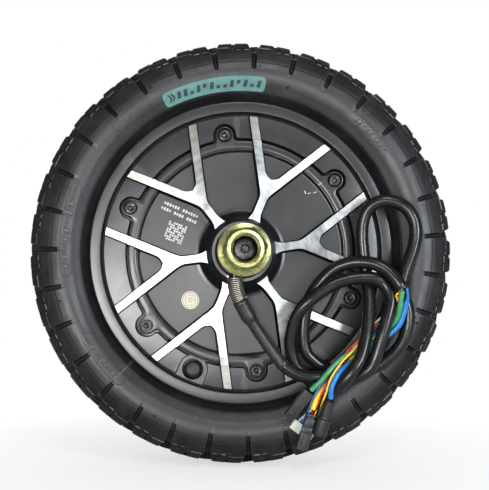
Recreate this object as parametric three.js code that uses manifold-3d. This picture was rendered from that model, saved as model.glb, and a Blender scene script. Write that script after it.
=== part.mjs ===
// Hub motor wheel: a 10 inch scooter wheel with the motor built into the hub.
// An off-road tyre sits on a cast rim. Two bolted covers close the rim and carry
// the ball bearings; the magnets turn with the rim and the wound stator stays
// still on the threaded axle. The motor lead leaves sideways from the axle, is
// coiled in loops over the wheel face and ends in loose plugs.
//
// Millimetres. Origin at the wheel centre, wheel axis along Y, +Z up, the front
// face, with the motor lead, towards -Y. Heights (h) are measured from the mid
// plane towards the front; outlines for turned parts are [radius, height] pairs.
// Angles are in degrees, clockwise from straight up as seen from the front.

import * as THREE from 'three';
import * as BufferGeometryUtils from 'three/addons/utils/BufferGeometryUtils.js';
import Module from 'manifold-3d';

const wasm = await Module();
wasm.setup();
const { Manifold, Mesh: SolidMesh } = wasm;

// ---------------------------------------------------------- shared dimensions
const RIM_BORE_R = 67.8;
const RIM_WEB_H = 24.5;

const SCREW_CIRCLE_R = 71;       // 142 mm bolt circle
const SCREW_COUNT = 6;
const SCREW_PHASE_DEG = -7.7;
const SCREW_HOLE_R = 1.95;
const SCREW_SHANK_R = 1.6;
const EAR_R = 5.3;
const EAR_FLOOR_H = 17;

const SPOKE_PHASE_DEG = SCREW_PHASE_DEG + 30; // midway between the screws
const VALVE_DEG = SPOKE_PHASE_DEG + 180;      // on the centre line of a spoke

const BEARING_R = 20;            // 17 x 40 x 12 mm ball bearings
const BEARING_NEAR_H = 13;
const BEARING_FAR_H = 25;
const STATOR_R = 60.6;
const STATOR_HALF_LENGTH = 12.5;
const LEAD_CORE_R = 2.6;         // thinner lead where it passes through the axle

const SIDES = [['front', 1], ['rear', -1]]; // name, sign of the height

// ------------------------------------------------------------------ materials
const MATERIALS = {
  blackPaint: { color: 0x101113, roughness: 0.45, metalness: 0.3 },
  bareAluminium: { color: 0xc9ccd0, roughness: 0.3, metalness: 1 },
  darkSteel: { color: 0x2a2b2d, roughness: 0.4, metalness: 0.9 },
  brightSteel: { color: 0xb9bcc0, roughness: 0.25, metalness: 1 },
  fluxRing: { color: 0x8b8f94, roughness: 0.5, metalness: 1 },
  magnet: { color: 0xa9adb2, roughness: 0.35, metalness: 1 },
  statorCore: { color: 0x6d7075, roughness: 0.45, metalness: 0.9 },
  copper: { color: 0xb5672c, roughness: 0.35, metalness: 1 },
  circuitBoard: { color: 0x1f5a35, roughness: 0.5, metalness: 0.1 },
  ballCage: { color: 0xa08a55, roughness: 0.4, metalness: 0.9 },
  zincYellow: { color: 0xc9a35a, roughness: 0.35, metalness: 1 },
  rubber: { color: 0x17181a, roughness: 0.8, metalness: 0 },
  cableJacket: { color: 0x141518, roughness: 0.35, metalness: 0 },
  shrinkSleeve: { color: 0x141518, roughness: 0.5, metalness: 0 },
  guardSpring: { color: 0xb08d57, roughness: 0.4, metalness: 0.9 },
};
const plastic = (color, roughness) => ({ color, roughness, metalness: 0 });

// -------------------------------------------------------------------- helpers
const RAD = Math.PI / 180;
const polar = (deg, r) => [r * Math.sin(deg * RAD), r * Math.cos(deg * RAD)];
const point = ([x, z, h]) => new THREE.Vector3(x, -h, z);
const repeat = (count, make) => Array.from({ length: count }, (_, i) => make(i));
const flat = (outline) => outline.map(([x, z]) => new THREE.Vector2(x, z));

// Outlines: sign -1 moves one to the rear; mirrored adds the rear half to a half.
const onSide = (outline, sign) => outline.map(([r, h]) => [r, sign * h]);
const mirrored = (half) => [...half, ...onSide(half.slice().reverse(), -1)];
const ring = ([r0, r1], [h0, h1]) => [[r0, h0], [r1, h0], [r1, h1], [r0, h1]];

// Shared vertices, no collapsed triangles, faces pointing out.
function tidy(geometry) {
  const bare = new THREE.BufferGeometry();
  bare.setAttribute('position', geometry.attributes.position);
  bare.setIndex(geometry.index);
  const merged = BufferGeometryUtils.mergeVertices(bare, 1e-4);
  const index = merged.index.array;
  const corners = repeat(3, () => new THREE.Vector3());
  const kept = [];
  let volume = 0;
  for (let i = 0; i < index.length; i += 3) {
    const triangle = [index[i], index[i + 1], index[i + 2]];
    if (new Set(triangle).size < 3) continue;
    kept.push(...triangle);
    corners.forEach((c, k) => c.fromBufferAttribute(merged.attributes.position, triangle[k]));
    volume += corners[0].dot(corners[1].cross(corners[2]));
  }
  if (volume < 0) {
    for (let i = 0; i < kept.length; i += 3) [kept[i + 1], kept[i + 2]] = [kept[i + 2], kept[i + 1]];
  }
  merged.setIndex(kept);
  return merged;
}

function solid(shape) {
  if (!(shape instanceof THREE.BufferGeometry)) return shape;
  const geometry = tidy(shape);
  return new Manifold(new SolidMesh({
    numProp: 3,
    vertProperties: Float32Array.from(geometry.attributes.position.array),
    triVerts: Uint32Array.from(geometry.index.array),
  }));
}

function geometryOf(shape) {
  if (shape instanceof THREE.BufferGeometry) return tidy(shape);
  const mesh = shape.getMesh();
  const geometry = new THREE.BufferGeometry();
  const positions = Float32Array.from(mesh.vertProperties);
  geometry.setAttribute('position', new THREE.BufferAttribute(positions, 3));
  geometry.setIndex(Array.from(mesh.triVerts));
  return geometry;
}

const join = (first, ...rest) => rest.reduce((all, s) => all.add(solid(s)), solid(first));
const cut = (first, ...rest) => rest.reduce((all, s) => all.subtract(solid(s)), solid(first));

// Turned part about the wheel axis; an outline off the axis is closed.
function lathe(outline, segments) {
  const points = outline.map(([r, h]) => new THREE.Vector2(r, -h));
  if (outline[0][0] > 0) points.push(points[0].clone());
  return new THREE.LatheGeometry(points, segments);
}

// Straight-sided piece from height h0 to h1: outline and hole in [x, z].
function prism(outline, [h0, h1], hole) {
  const shape = new THREE.Shape(flat(outline));
  if (hole) shape.holes.push(new THREE.Path(flat(hole)));
  const geometry = new THREE.ExtrudeGeometry(shape, { depth: h1 - h0, bevelEnabled: false });
  return geometry.rotateX(Math.PI / 2).translate(0, -h0, 0);
}

// Round bar parallel to the wheel axis.
function rod(radius, [h0, h1], segments, [x, z] = [0, 0]) {
  const geometry = new THREE.CylinderGeometry(radius, radius, h1 - h0, segments);
  return geometry.translate(x, -(h0 + h1) / 2, z);
}

function box([x0, x1], [h0, h1], [z0, z1]) {
  const geometry = new THREE.BoxGeometry(x1 - x0, h1 - h0, z1 - z0);
  return geometry.translate((x0 + x1) / 2, -(h0 + h1) / 2, (z0 + z1) / 2);
}

const turned = (geometry, deg) => geometry.rotateY(deg * RAD);

// Stands a piece that was built about the wheel axis on the line from one point
// to another, its height 0 landing on the first point. A piece lying along the
// wheel face keeps its local z towards the front.
function standing(geometry, from, to) {
  const direction = to.clone().sub(from).normalize();
  const front = new THREE.Vector3(0, -1, 0);
  const basis = new THREE.Matrix4();
  if (Math.abs(direction.dot(front)) > 0.9) {
    const tilt = new THREE.Quaternion().setFromUnitVectors(front, direction);
    basis.makeRotationFromQuaternion(tilt);
  } else {
    const x = front.clone().cross(direction).normalize();
    const y = direction.clone().negate();
    basis.makeBasis(x, y, x.clone().cross(y));
  }
  return geometry.applyMatrix4(basis).translate(from.x, from.y, from.z);
}

const curveThrough = (points) => new THREE.CatmullRomCurve3(points, false, 'centripetal');

// Round section with the given number of sides, swept along a curve.
function sweep(curve, radius, steps, sides) {
  const section = repeat(sides, (k) => {
    const angle = 2 * Math.PI * k / sides;
    return [radius * Math.cos(angle), radius * Math.sin(angle)];
  });
  const shape = new THREE.Shape(flat(section));
  return new THREE.ExtrudeGeometry(shape, { steps, bevelEnabled: false, extrudePath: curve });
}

const wheel = new THREE.Group();
function add(name, shape, material) {
  const mesh = new THREE.Mesh(geometryOf(shape), new THREE.MeshStandardMaterial(material));
  mesh.name = name;
  wheel.add(mesh);
}

// ----------------------------------------------------------------------- tyre
const TYRE_OUTER_R = 127.5;      // 255 mm over the tread
const TYRE_HALF_WIDTH = 35;      // 70 mm section
const LUG_COUNT = 31;            // shoulder lugs each side
const LUG_PHASE_DEG = 3.8;       // first notch between lugs
const NOTCH_HALF_SHARE = 0.15;   // half the notch width, as a share of the lug pitch

// Front half outlines from the bead out; both share the sidewall.
const SIDEWALL = [[82.9, 22.6], [91.4, 22.6], [95.2, 29.6], [105, TYRE_HALF_WIDTH]];
const LUG_HALF = [...SIDEWALL, [119.5, 31.2], [124.2, 27.5], [TYRE_OUTER_R, 12]];
const NOTCH_HALF = [...SIDEWALL, [116.6, 27.4], [119.9, 24.2], [123.8, 12]];
const TYRE_INSIDE = [[82.9, -13.5], [106, -25], [117.6, 0], [106, 25], [82.9, 13.5]];

// One closed shell, open towards the rim inside. Each shoulder is cut into lugs
// by V notches that fade out down the sidewall.
function tyre() {
  const lug = [...mirrored(LUG_HALF), ...TYRE_INSIDE];
  const notch = [...mirrored(NOTCH_HALF), ...TYRE_INSIDE];
  const pitch = 360 / LUG_COUNT;
  const columns = [];
  for (let i = 0; i < LUG_COUNT; i++) {
    const deg = LUG_PHASE_DEG + i * pitch;
    columns.push([deg, notch]);
    columns.push([deg + NOTCH_HALF_SHARE * pitch, lug]);
    columns.push([deg + (1 - NOTCH_HALF_SHARE) * pitch, lug]);
  }
  const size = lug.length;
  const positions = [];
  const index = [];
  columns.forEach(([deg, outline], i) => {
    for (const [r, h] of outline) positions.push(...point([...polar(deg, r), h]));
    const here = i * size;
    const next = (i + 1) % columns.length * size;
    for (let k = 0; k < size; k++) {
      const m = (k + 1) % size;
      index.push(here + k, here + m, next + m, here + k, next + m, next + k);
    }
  });
  const geometry = new THREE.BufferGeometry();
  geometry.setAttribute('position', new THREE.Float32BufferAttribute(positions, 3));
  geometry.setIndex(index);
  return geometry;
}

// ------------------------------------- spokes and ears, on rim and front cover
const SPOKE_COUNT = 6;
const SPOKE_HALF_WIDTH = 2.8;
// Right half of a Y, [x, z]: a straight stem up to about radius 36, then an arm
// 30 degrees off it.
const SPOKE_HALF = [
  [4.1, 20.9], [3.1, 24], [SPOKE_HALF_WIDTH, 27], [SPOKE_HALF_WIDTH, 33.8], [3.1, 35.9],
  [3.9, 37.9], [30.9, 84.7], [28.1, 91.3], [4.33, 50.1], [2.6, 48.3],
];
const SPOKE_CROTCH = [0, 47.6];
const SPOKE_PRISM_TOP_H = 34;    // above the sloping top everywhere

// The spoke tops fall by 3 over 45.5 of radius, from height 31 at radius 20.5.
const spokeTop = (r) => 31 - (r - 20.5) * 3 / 45.5;

// The part of the six spokes between two radii, above a floor height.
function spokes(r0, r1, floor) {
  const band = [[r0, floor], [r1, floor], [r1, spokeTop(r1)], [r0, spokeTop(r0)]];
  const left = SPOKE_HALF.slice().reverse().map(([x, z]) => [-x, z]);
  const outline = [...SPOKE_HALF, SPOKE_CROTCH, ...left];
  const stars = repeat(SPOKE_COUNT, (i) => turned(
    prism(outline, [floor - 1, SPOKE_PRISM_TOP_H]),
    SPOKE_PHASE_DEG + 360 / SPOKE_COUNT * i,
  ));
  return join(...stars).intersect(solid(lathe(band, 40)));
}

const screwSites = repeat(SCREW_COUNT, (i) => {
  const deg = SCREW_PHASE_DEG + 360 / SCREW_COUNT * i;
  return { deg, at: polar(deg, SCREW_CIRCLE_R) };
});

// Round-ended tab around a screw, running in to innerR.
const ear = ({ deg, at }, radius, heights, innerR) => [
  rod(radius, heights, 12, at),
  turned(box([-radius, radius], heights, [innerR, SCREW_CIRCLE_R]), deg),
];

// ---------------------------------------------------------------------- valve
// The valve axis leans slightly towards the wheel centre at its outer end.
const valvePoint = (r, h) => point([...polar(VALVE_DEG, r), h]);
const VALVE_INNER = valvePoint(78, 0);
const VALVE_OUTER = valvePoint(75, 24);
const onValve = (geometry) => standing(geometry, VALVE_INNER, VALVE_OUTER);

// Outlines about the valve axis, heights from its inner end.
const VALVE_STEM = [
  [1.0, -1], [5.2, -1], [5.2, 2.6], [3.9, 3.1], [3.9, 13.2], [4.6, 13.2], [4.4, 14.6],
  [3.4, 15.2], [3.4, 22.6], [1.0, 22.6],
];
const VALVE_PIN = ring([0, 0.6], [6, 22]);
const VALVE_CAP = [
  [0, 23.4], [3.8, 23.4], [3.8, 15.6], [5.2, 15.6], [5.2, 24.2], [3.9, 26.2], [0, 26.9],
];

// ------------------------------------------------------------------------ rim
const RIM_FLANGE_R = 91;         // 6.5 inch rim
const RIM_HALF_WIDTH = 27;
const EAR_CLEARANCE = 0.4;       // around the cover's ears
const RIM_OUTLINE = [
  [RIM_BORE_R, -20.6], [RIM_BORE_R, RIM_WEB_H], [81.3, RIM_WEB_H], [83.4, RIM_HALF_WIDTH],
  [89.8, RIM_HALF_WIDTH], [RIM_FLANGE_R, 25.6], [RIM_FLANGE_R, 23], [82.5, 23], [82.5, 13],
  [76, 7], [76, -7], [82.5, -13], [82.5, -23], [RIM_FLANGE_R, -23], [RIM_FLANGE_R, -25.6],
  [89.8, -RIM_HALF_WIDTH], [83.4, -RIM_HALF_WIDTH], [81.3, -24.9], [76, -24.9], [76, -20.6],
];
const VALVE_OPENING = { r: 75, halfWidth: 8.5, outerR: 81, arcSteps: 6 };

// U-shaped opening, rounded towards the wheel centre, in [x, z] before turning.
function valveOpening() {
  const { r, halfWidth, outerR, arcSteps } = VALVE_OPENING;
  const arc = repeat(arcSteps + 1, (k) => {
    const angle = Math.PI + Math.PI * k / arcSteps;
    return [halfWidth * Math.cos(angle), r + halfWidth * Math.sin(angle)];
  });
  return [...arc, [halfWidth, outerR], [-halfWidth, outerR]];
}

function rim() {
  const screwCuts = screwSites.flatMap((site) => [
    ...ear(site, EAR_R + EAR_CLEARANCE, [EAR_FLOOR_H - 0.3, 30], 62),
    rod(SCREW_HOLE_R, [6, 18], 6, site.at),
    rod(SCREW_HOLE_R, [-22, -11], 6, site.at),
  ]);
  // Opening in the web, a pocket below it, and a stepped hole through the
  // barrel into the tyre.
  const valveCuts = [
    turned(prism(valveOpening(), [20.3, 30]), VALVE_DEG),
    rod(5.9, [11.5, 21], 12, polar(VALVE_DEG, 75.4)),
    onValve(rod(4.3, [2, 14], 10)),
    onValve(rod(5.7, [-10, 3.4], 10)),
  ];
  const body = join(lathe(RIM_OUTLINE, 40), spokes(RIM_BORE_R, 82.6, 22));
  return cut(body, ...screwCuts, ...valveCuts);
}

// --------------------------------------------------------------------- covers
const COVER_R = 66.4;
const COVER_FACE_H = 22.5;
const COVER_INSIDE_H = 18.5;
const HUB_R = 24.5;              // outside of the bearing housing
const BEARING_END_GAP = 0.3;
const HUB_INNER_H = BEARING_NEAR_H - BEARING_END_GAP;
// Bore of the bearing housing, from its inner end out to the lip.
const HUB_BORE = [
  [BEARING_R, HUB_INNER_H], [BEARING_R, BEARING_FAR_H + BEARING_END_GAP], [13.5, 25.3],
  [13.5, 32.7], [15.1, 32.7], [15.1, 39.5], [15.9, 40],
];
const FRONT_COVER_OUTLINE = [
  ...HUB_BORE, [17.5, 40], [18.2, 38.5], [20.5, 31], [HUB_R, COVER_FACE_H],
  [60.4, COVER_FACE_H], [62.4, 25.5], [COVER_R, 25.5], [COVER_R, COVER_INSIDE_H],
  [HUB_R, COVER_INSIDE_H], [HUB_R, HUB_INNER_H],
];
// Heights towards the rear.
const REAR_COVER_OUTLINE = [
  ...HUB_BORE, [17.2, 40], [17.9, 36], [27, 36], [29, 24.6], [75.6, 24.6], [75.6, 20.9],
  [67.3, 20.9], [66, COVER_INSIDE_H], [HUB_R, COVER_INSIDE_H], [HUB_R, HUB_INNER_H],
];

function frontCover() {
  const ears = screwSites.flatMap((site) => ear(site, EAR_R, [EAR_FLOOR_H, RIM_WEB_H], 63.2));
  const holes = screwSites.flatMap(({ at }) => [
    rod(SCREW_HOLE_R, [16, 22], 6, at),
    rod(4.0, [20.5, 27], 10, at), // counterbore for the head
  ]);
  const plate = lathe(FRONT_COVER_OUTLINE, 40);
  return cut(join(plate, spokes(20.9, COVER_R, 21), ...ears), ...holes);
}

// Plain dished plate with a raised face for a six-bolt brake disc.
function rearCover() {
  const screwHoles = screwSites.map(({ at }) => rod(SCREW_HOLE_R, [-30, -15], 6, at));
  const discHoles = repeat(6, (i) => rod(2.1, [-40, -28], 8, polar(30 + 60 * i, 22)));
  return cut(lathe(onSide(REAR_COVER_OUTLINE, -1), 28), ...screwHoles, ...discHoles);
}

// Round head with a hexagon socket.
function frontScrew(at) {
  const head = rod(3.4, [20.8, 24.8], 10, at);
  const shank = rod(SCREW_SHANK_R, [8.5, 21], 5, at);
  return cut(join(head, shank), rod(1.73, [22.8, 26], 6, at));
}

const REAR_HEAD = [[0, -27.7], [2.2, -27.5], [3.5, -26.2], [3.5, -24.9], [0, -24.9]];
function rearScrew(at) {
  const head = lathe(REAR_HEAD, 10).translate(at[0], 0, at[1]);
  return join(head, rod(SCREW_SHANK_R, [-25.2, -12.5], 5, at));
}

// ---------------------------------------------------------------------- rotor
const FLUX_RING = ring([65, 67.4], [-15, 15]);
const POLES = 30;
const AIR_GAP = 0.7;
const MAGNET_CORNER_R = STATOR_R + AIR_GAP + 0.1;
const MAGNET_OUTER_R = 64.2;
const MAGNET_HALF_DEG = 5.2;

// All magnets in one ring: a flat for each pole inside, corners midway outside.
function magnetRing() {
  const pitch = 360 / POLES;
  const bore = repeat(POLES, (i) => [
    polar(pitch * i - MAGNET_HALF_DEG, MAGNET_CORNER_R),
    polar(pitch * i + MAGNET_HALF_DEG, MAGNET_CORNER_R),
  ]).flat();
  const outer = repeat(POLES, (i) => polar(pitch * i + pitch / 2, MAGNET_OUTER_R));
  return prism(outer, [-13, 13], bore.reverse());
}

// --------------------------------------------------------------------- stator
const STATOR_SLOTS = 27;
const TOOTH_PITCH_DEG = 360 / STATOR_SLOTS;
// One tooth: [degrees from its centre line, radius].
const TOOTH = [[-3.15, 47], [-2.5, 58.6], [-5.7, STATOR_R], [5.7, STATOR_R], [2.5, 58.6], [3.15, 47]];
const CORE_BORE_R = 40;
const WINDING_CLEARANCE = 0.4;   // beyond the ends of the core
const WINDING = ring([48, 57.9], [-16.2, 16.2]);
const CARRIER_HALF = [
  [11.9, -11], [19, -4], [35.8, -4], [35.8, -STATOR_HALF_LENGTH], [39.4, -STATOR_HALF_LENGTH],
];

function statorCore() {
  const outline = repeat(STATOR_SLOTS, (i) => (
    TOOTH.map(([deg, r]) => polar(TOOTH_PITCH_DEG * i + deg, r))
  )).flat();
  const last = STATOR_SLOTS - 1;
  const bore = repeat(STATOR_SLOTS, (i) => polar(TOOTH_PITCH_DEG * (last - i), CORE_BORE_R));
  return prism(outline, [-STATOR_HALF_LENGTH, STATOR_HALF_LENGTH], bore);
}

// One coil per tooth, made as a single wound body: both end turns joined
// through the slots.
function statorWinding() {
  const h = STATOR_HALF_LENGTH + WINDING_CLEARANCE;
  const teeth = repeat(STATOR_SLOTS, (i) => (
    turned(box([-3, 3], [-h, h], [45, 62]), TOOTH_PITCH_DEG * i)
  ));
  return cut(lathe(WINDING, 27), join(...teeth));
}

// Arc-shaped board over the lower part of the stator's front end.
function hallSensorBoard() {
  const arc = (r) => repeat(7, (k) => polar(150 + 10 * k, r));
  const heights = [STATOR_HALF_LENGTH + 0.4, STATOR_HALF_LENGTH + 2];
  return prism([...arc(47.4), ...arc(38).reverse()], heights);
}

// ------------------------------------------------------------------- bearings
const BEARING_MID_H = (BEARING_NEAR_H + BEARING_FAR_H) / 2;
const SHAFT_CLEAR_R = 8.6;       // bore of inner races, spacers and seals
const GROOVE_HALF_WIDTH = 3.6;
const BALL_CIRCLE_R = 14.25;
const BALL_R = 3.37;
const BALL_COUNT = 8;
const CAGE = ring([13.3, 15.2], [BEARING_MID_H - 1, BEARING_MID_H + 1]);
const OIL_SEAL = [
  [SHAFT_CLEAR_R, 33.2], [14.7, 33.1], [14.7, 39.2], [12.6, 39.2], [11.6, 37],
  [SHAFT_CLEAR_R, 36.4],
];
const SPACER = ring([SHAFT_CLEAR_R, 11.2], [25.4, 32.6]);

// Race with a V groove facing the balls.
const race = (backR, lipR, grooveR) => [
  [backR, BEARING_NEAR_H], [backR, BEARING_FAR_H], [lipR, BEARING_FAR_H],
  [lipR, BEARING_MID_H + GROOVE_HALF_WIDTH], [grooveR, BEARING_MID_H],
  [lipR, BEARING_MID_H - GROOVE_HALF_WIDTH], [lipR, BEARING_NEAR_H],
];

function ballCage(sign) {
  const balls = repeat(BALL_COUNT, (i) => {
    const [x, z] = polar(360 / BALL_COUNT * i, BALL_CIRCLE_R);
    return new THREE.SphereGeometry(BALL_R, 6, 3).translate(x, -sign * BEARING_MID_H, z);
  });
  return join(lathe(onSide(CAGE, sign), 10), ...balls);
}

function addBearing(side, sign) {
  const turnedPart = (outline, segments) => lathe(onSide(outline, sign), segments);
  const { brightSteel, ballCage: cageMetal, rubber } = MATERIALS;
  add(`${side}_bearing_outer_race`, turnedPart(race(19.6, 16.4, 18.3), 16), brightSteel);
  add(`${side}_bearing_inner_race`, turnedPart(race(SHAFT_CLEAR_R, 12.1, 10.2), 16), brightSteel);
  add(`${side}_ball_cage`, ballCage(sign), cageMetal);
  add(`${side}_oil_seal`, turnedPart(OIL_SEAL, 16), rubber);
  add(`${side}_spacer`, turnedPart(SPACER, 12), brightSteel);
}

// ----------------------------------------------------------------- motor lead
// Centre line, [x, z, height], from inside the axle, out over the spokes and
// round the loops to the end of the jacket.
const CABLE_PATH = [
  [0, 0, 21], [0, 0, 30], [0, 0, 37], [-1.3, -2.6, 43.2], [-3.4, -7.6, 46.6], [-4.7, -14.9, 47],
  [-3.4, -24.07, 45.66], [-0.65, -30.37, 44.28], [3.78, -38.16, 43], [8.5, -45.41, 42],
  [14.35, -54.11, 41.41], [20.1, -61.62, 41.25], [25.24, -67.06, 41.41], [31.48, -70.78, 41.73],
  [38.37, -72.62, 41.88], [44.78, -72.54, 41.11], [51.1, -72.68, 39.44], [57.14, -73.57, 39.14],
  [62.68, -73.54, 40.77], [67.52, -71.79, 43.41], [71.76, -68.53, 45.4], [75.44, -61.96, 45.93],
  [77.92, -53.74, 46.35], [80.57, -45.18, 46.38], [83.08, -36.63, 45.96], [84.96, -28.07, 45.1],
  [83.87, -22.44, 43.99], [80.86, -18.58, 43.18], [76.32, -15.82, 43.1], [68.99, -15.15, 42.49],
  [60.92, -16.13, 42.26], [52.84, -18.84, 42.29], [45.41, -23.22, 42.53], [39.13, -28.08, 42.6],
  [34.4, -32.62, 41.65], [30.87, -38.49, 39.68], [28.94, -46.15, 37.74], [28.35, -54.43, 36.14],
  [31.22, -65.48, 34.99], [34.73, -69.63, 34.26], [38.45, -73.6, 34.03], [42.42, -77.06, 35],
  [46.43, -79.64, 37.47], [50.4, -80.18, 40.92], [53.97, -78.78, 44.45], [57.26, -75.46, 46.91],
  [60.23, -71.48, 48.09], [63.3, -66.92, 48.07], [66.54, -62.48, 47.13], [68.6, -57.4, 46],
  [70.65, -49.74, 44.38], [72.57, -40.73, 42.05], [73.67, -31.56, 39.38], [73.85, -23.4, 36.87],
  [73.14, -15.3, 34.87], [71.99, -6.96, 34.34], [71.09, 1.25, 34.26], [70.48, 9.43, 34.57],
  [71.06, 18.17, 35.21], [73.17, 24.2, 36.11], [77.23, 28.12, 37.16], [83, 29.69, 38.18],
  [89.69, 28.4, 39], [95.99, 24.32, 39.52], [99.75, 17.66, 39.76], [100.62, 9.84, 39.8],
  [99.25, 2.05, 39.69], [96.75, -5.46, 39.56], [94.24, -12.41, 39.48], [92.74, -18.79, 39.54],
  [93.34, -24.89, 39.69], [95.29, -30.68, 39.85], [96.34, -36.76, 39.94], [95.87, -43.41, 39.94],
  [93.7, -50.37, 39.84], [89.96, -56.74, 39.62], [84.82, -61.97, 39.28], [78.98, -66.51, 38.86],
  [72.21, -68.38, 37.41], [65.48, -69.6, 34.54], [58.91, -69.9, 32.46], [52.64, -69.17, 32.06],
  [47.09, -67.06, 32.43], [42.32, -63.55, 32.86], [38.19, -58.97, 33.2], [36.36, -51.56, 33.52],
  [36.18, -44.51, 33.88], [36.95, -36.89, 34.34], [38.83, -29.54, 34.68], [42.47, -22.47, 35.04],
  [47.66, -15.78, 35.96], [51.77, -11.74, 37.24], [56.29, -8.63, 38.83], [63.36, -6.47, 40.58],
  [69.55, -6.28, 42.37], [75.06, -7.25, 44.3], [80.84, -9.96, 46.41], [85.13, -14.11, 48.09],
  [88.08, -18.12, 49.21], [89.71, -20.99, 49.71],
];
const CABLE_R = 3.7;             // jacketed lead beyond the sleeve
const JACKET_START = 98;         // distances along the lead are from its inner end
const GUARD_SPAN = [37, 50.5];
const GUARD = { turns: 7, stepsPerTurn: 7, coilR: 4, wireR: 0.5 };

const leadCurve = curveThrough(CABLE_PATH.map(point));
const leadLength = leadCurve.getLength();

function alongLead([start, end], count) {
  return curveThrough(repeat(count + 1, (i) => (
    leadCurve.getPointAt((start + (end - start) * i / count) / leadLength)
  )));
}
const leadTube = (span, radius, steps, sides) => (
  sweep(alongLead(span, steps), radius, steps, sides)
);

const mainCable = () => join(
  leadTube([0, JACKET_START + 1], LEAD_CORE_R, 12, 6),
  leadTube([JACKET_START, leadLength], CABLE_R, 80, 6),
);

// Coiled guard where the lead leaves the axle.
function guardSpring() {
  const { turns, stepsPerTurn, coilR, wireR } = GUARD;
  const steps = turns * stepsPerTurn;
  const curve = alongLead(GUARD_SPAN, 8);
  const frames = curve.computeFrenetFrames(steps, false);
  const coil = repeat(steps + 1, (i) => {
    const angle = 2 * Math.PI * i / stepsPerTurn;
    return curve.getPointAt(i / steps)
      .addScaledVector(frames.normals[i], coilR * Math.cos(angle))
      .addScaledVector(frames.binormals[i], coilR * Math.sin(angle));
  });
  return sweep(curveThrough(coil), wireR, steps, 3);
}

// Shrunk sleeve: thick at the guard, thin beyond it, with a collar at its end.
const cableSleeve = () => cut(
  join(
    leadTube([51.6, 64], 4.35, 3, 7),
    leadTube([63, 96.5], 3.3, 5, 7),
    leadTube([94.5, 97.2], 3.8, 1, 7),
  ),
  leadTube([49, 97.8], LEAD_CORE_R + 0.55, 7, 7),
);

// -------------------------------------------------------------- axle and nuts
const AXLE_JOURNAL_R = 8.2;
const AXLE_THREAD_R = 6.8;       // M14
const AXLE_TIP_H = 66;
const AXLE_HALF = [
  [0, AXLE_TIP_H], [5.4, AXLE_TIP_H], [AXLE_THREAD_R, 64.6], [AXLE_THREAD_R, 44.5],
  [AXLE_JOURNAL_R, 43], [AXLE_JOURNAL_R, 12.6], [11.5, 12.6],
];
const AXLE_FLAT_X = 5.6;         // from the axis to each milled flat
const AXLE_FLAT_DEG = 20;

const NUT_FLATS = 22;
const NUT_FLANGE_R = 15;
const NUT_SEAT_H = 57;
const NUT_TOP_H = 71.2;

// Shaft with two milled flats on each end. The lead passage follows the axis
// inside the front end, then breaks out downwards.
function axle() {
  const flats = [[-56, -41.5], [41.5, 56]].flatMap((heights) => (
    [[-12, -AXLE_FLAT_X], [AXLE_FLAT_X, 12]].map((xs) => (
      turned(box(xs, heights, [-12, 12]), AXLE_FLAT_DEG)
    ))
  ));
  const [x, z, h] = CABLE_PATH[0];
  const passage = [[x, z, h - 6], ...CABLE_PATH.slice(1, 7)];
  return cut(
    lathe(mirrored(AXLE_HALF), 16),
    ...flats,
    sweep(curveThrough(passage.map(point)), LEAD_CORE_R + 1, 9, 7),
    rod(2.1, [58, 70], 8), // centre hole in the front tip
    // Slanting hole from the inner end of the passage to the underside.
    standing(rod(3, [0, 14], 8), point([0, 0, 17.5]), point([0, -10, 14])),
  );
}

// Front flange nut, cut with a hexagon and a chamfered crown.
function axleNut() {
  const cornerR = NUT_FLATS / 2 / Math.cos(Math.PI / 6);
  const hexagon = repeat(6, (k) => polar(60 * k + 22, cornerR));
  const flange = [
    [0, NUT_SEAT_H], [NUT_FLANGE_R, NUT_SEAT_H], [NUT_FLANGE_R, NUT_SEAT_H + 1.6],
    [11.5, NUT_SEAT_H + 3], [0, NUT_SEAT_H + 3],
  ];
  const crown = [
    [0, NUT_SEAT_H - 1], [16, NUT_SEAT_H - 1], [16, NUT_TOP_H - 4.2], [10.2, NUT_TOP_H],
    [0, NUT_TOP_H],
  ];
  const body = join(prism(hexagon, [NUT_SEAT_H + 1, NUT_TOP_H]), lathe(flange, 20));
  const bore = rod(7.15, [NUT_SEAT_H - 2, NUT_TOP_H + 2], 14);
  return cut(body.intersect(solid(lathe(crown, 20))), bore);
}

// ---------------------------------------------------------------- loose wires
// Kinds by name prefix: three phase wires and six thin Hall sensor wires.
const PHASE_WIRE = { radius: 1.4, sides: 4 };
const HALL_WIRE = { radius: 0.42, sides: 3 };
const WIRE_STEPS = 20;
const WIRE_ROUGHNESS = 0.4;

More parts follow.
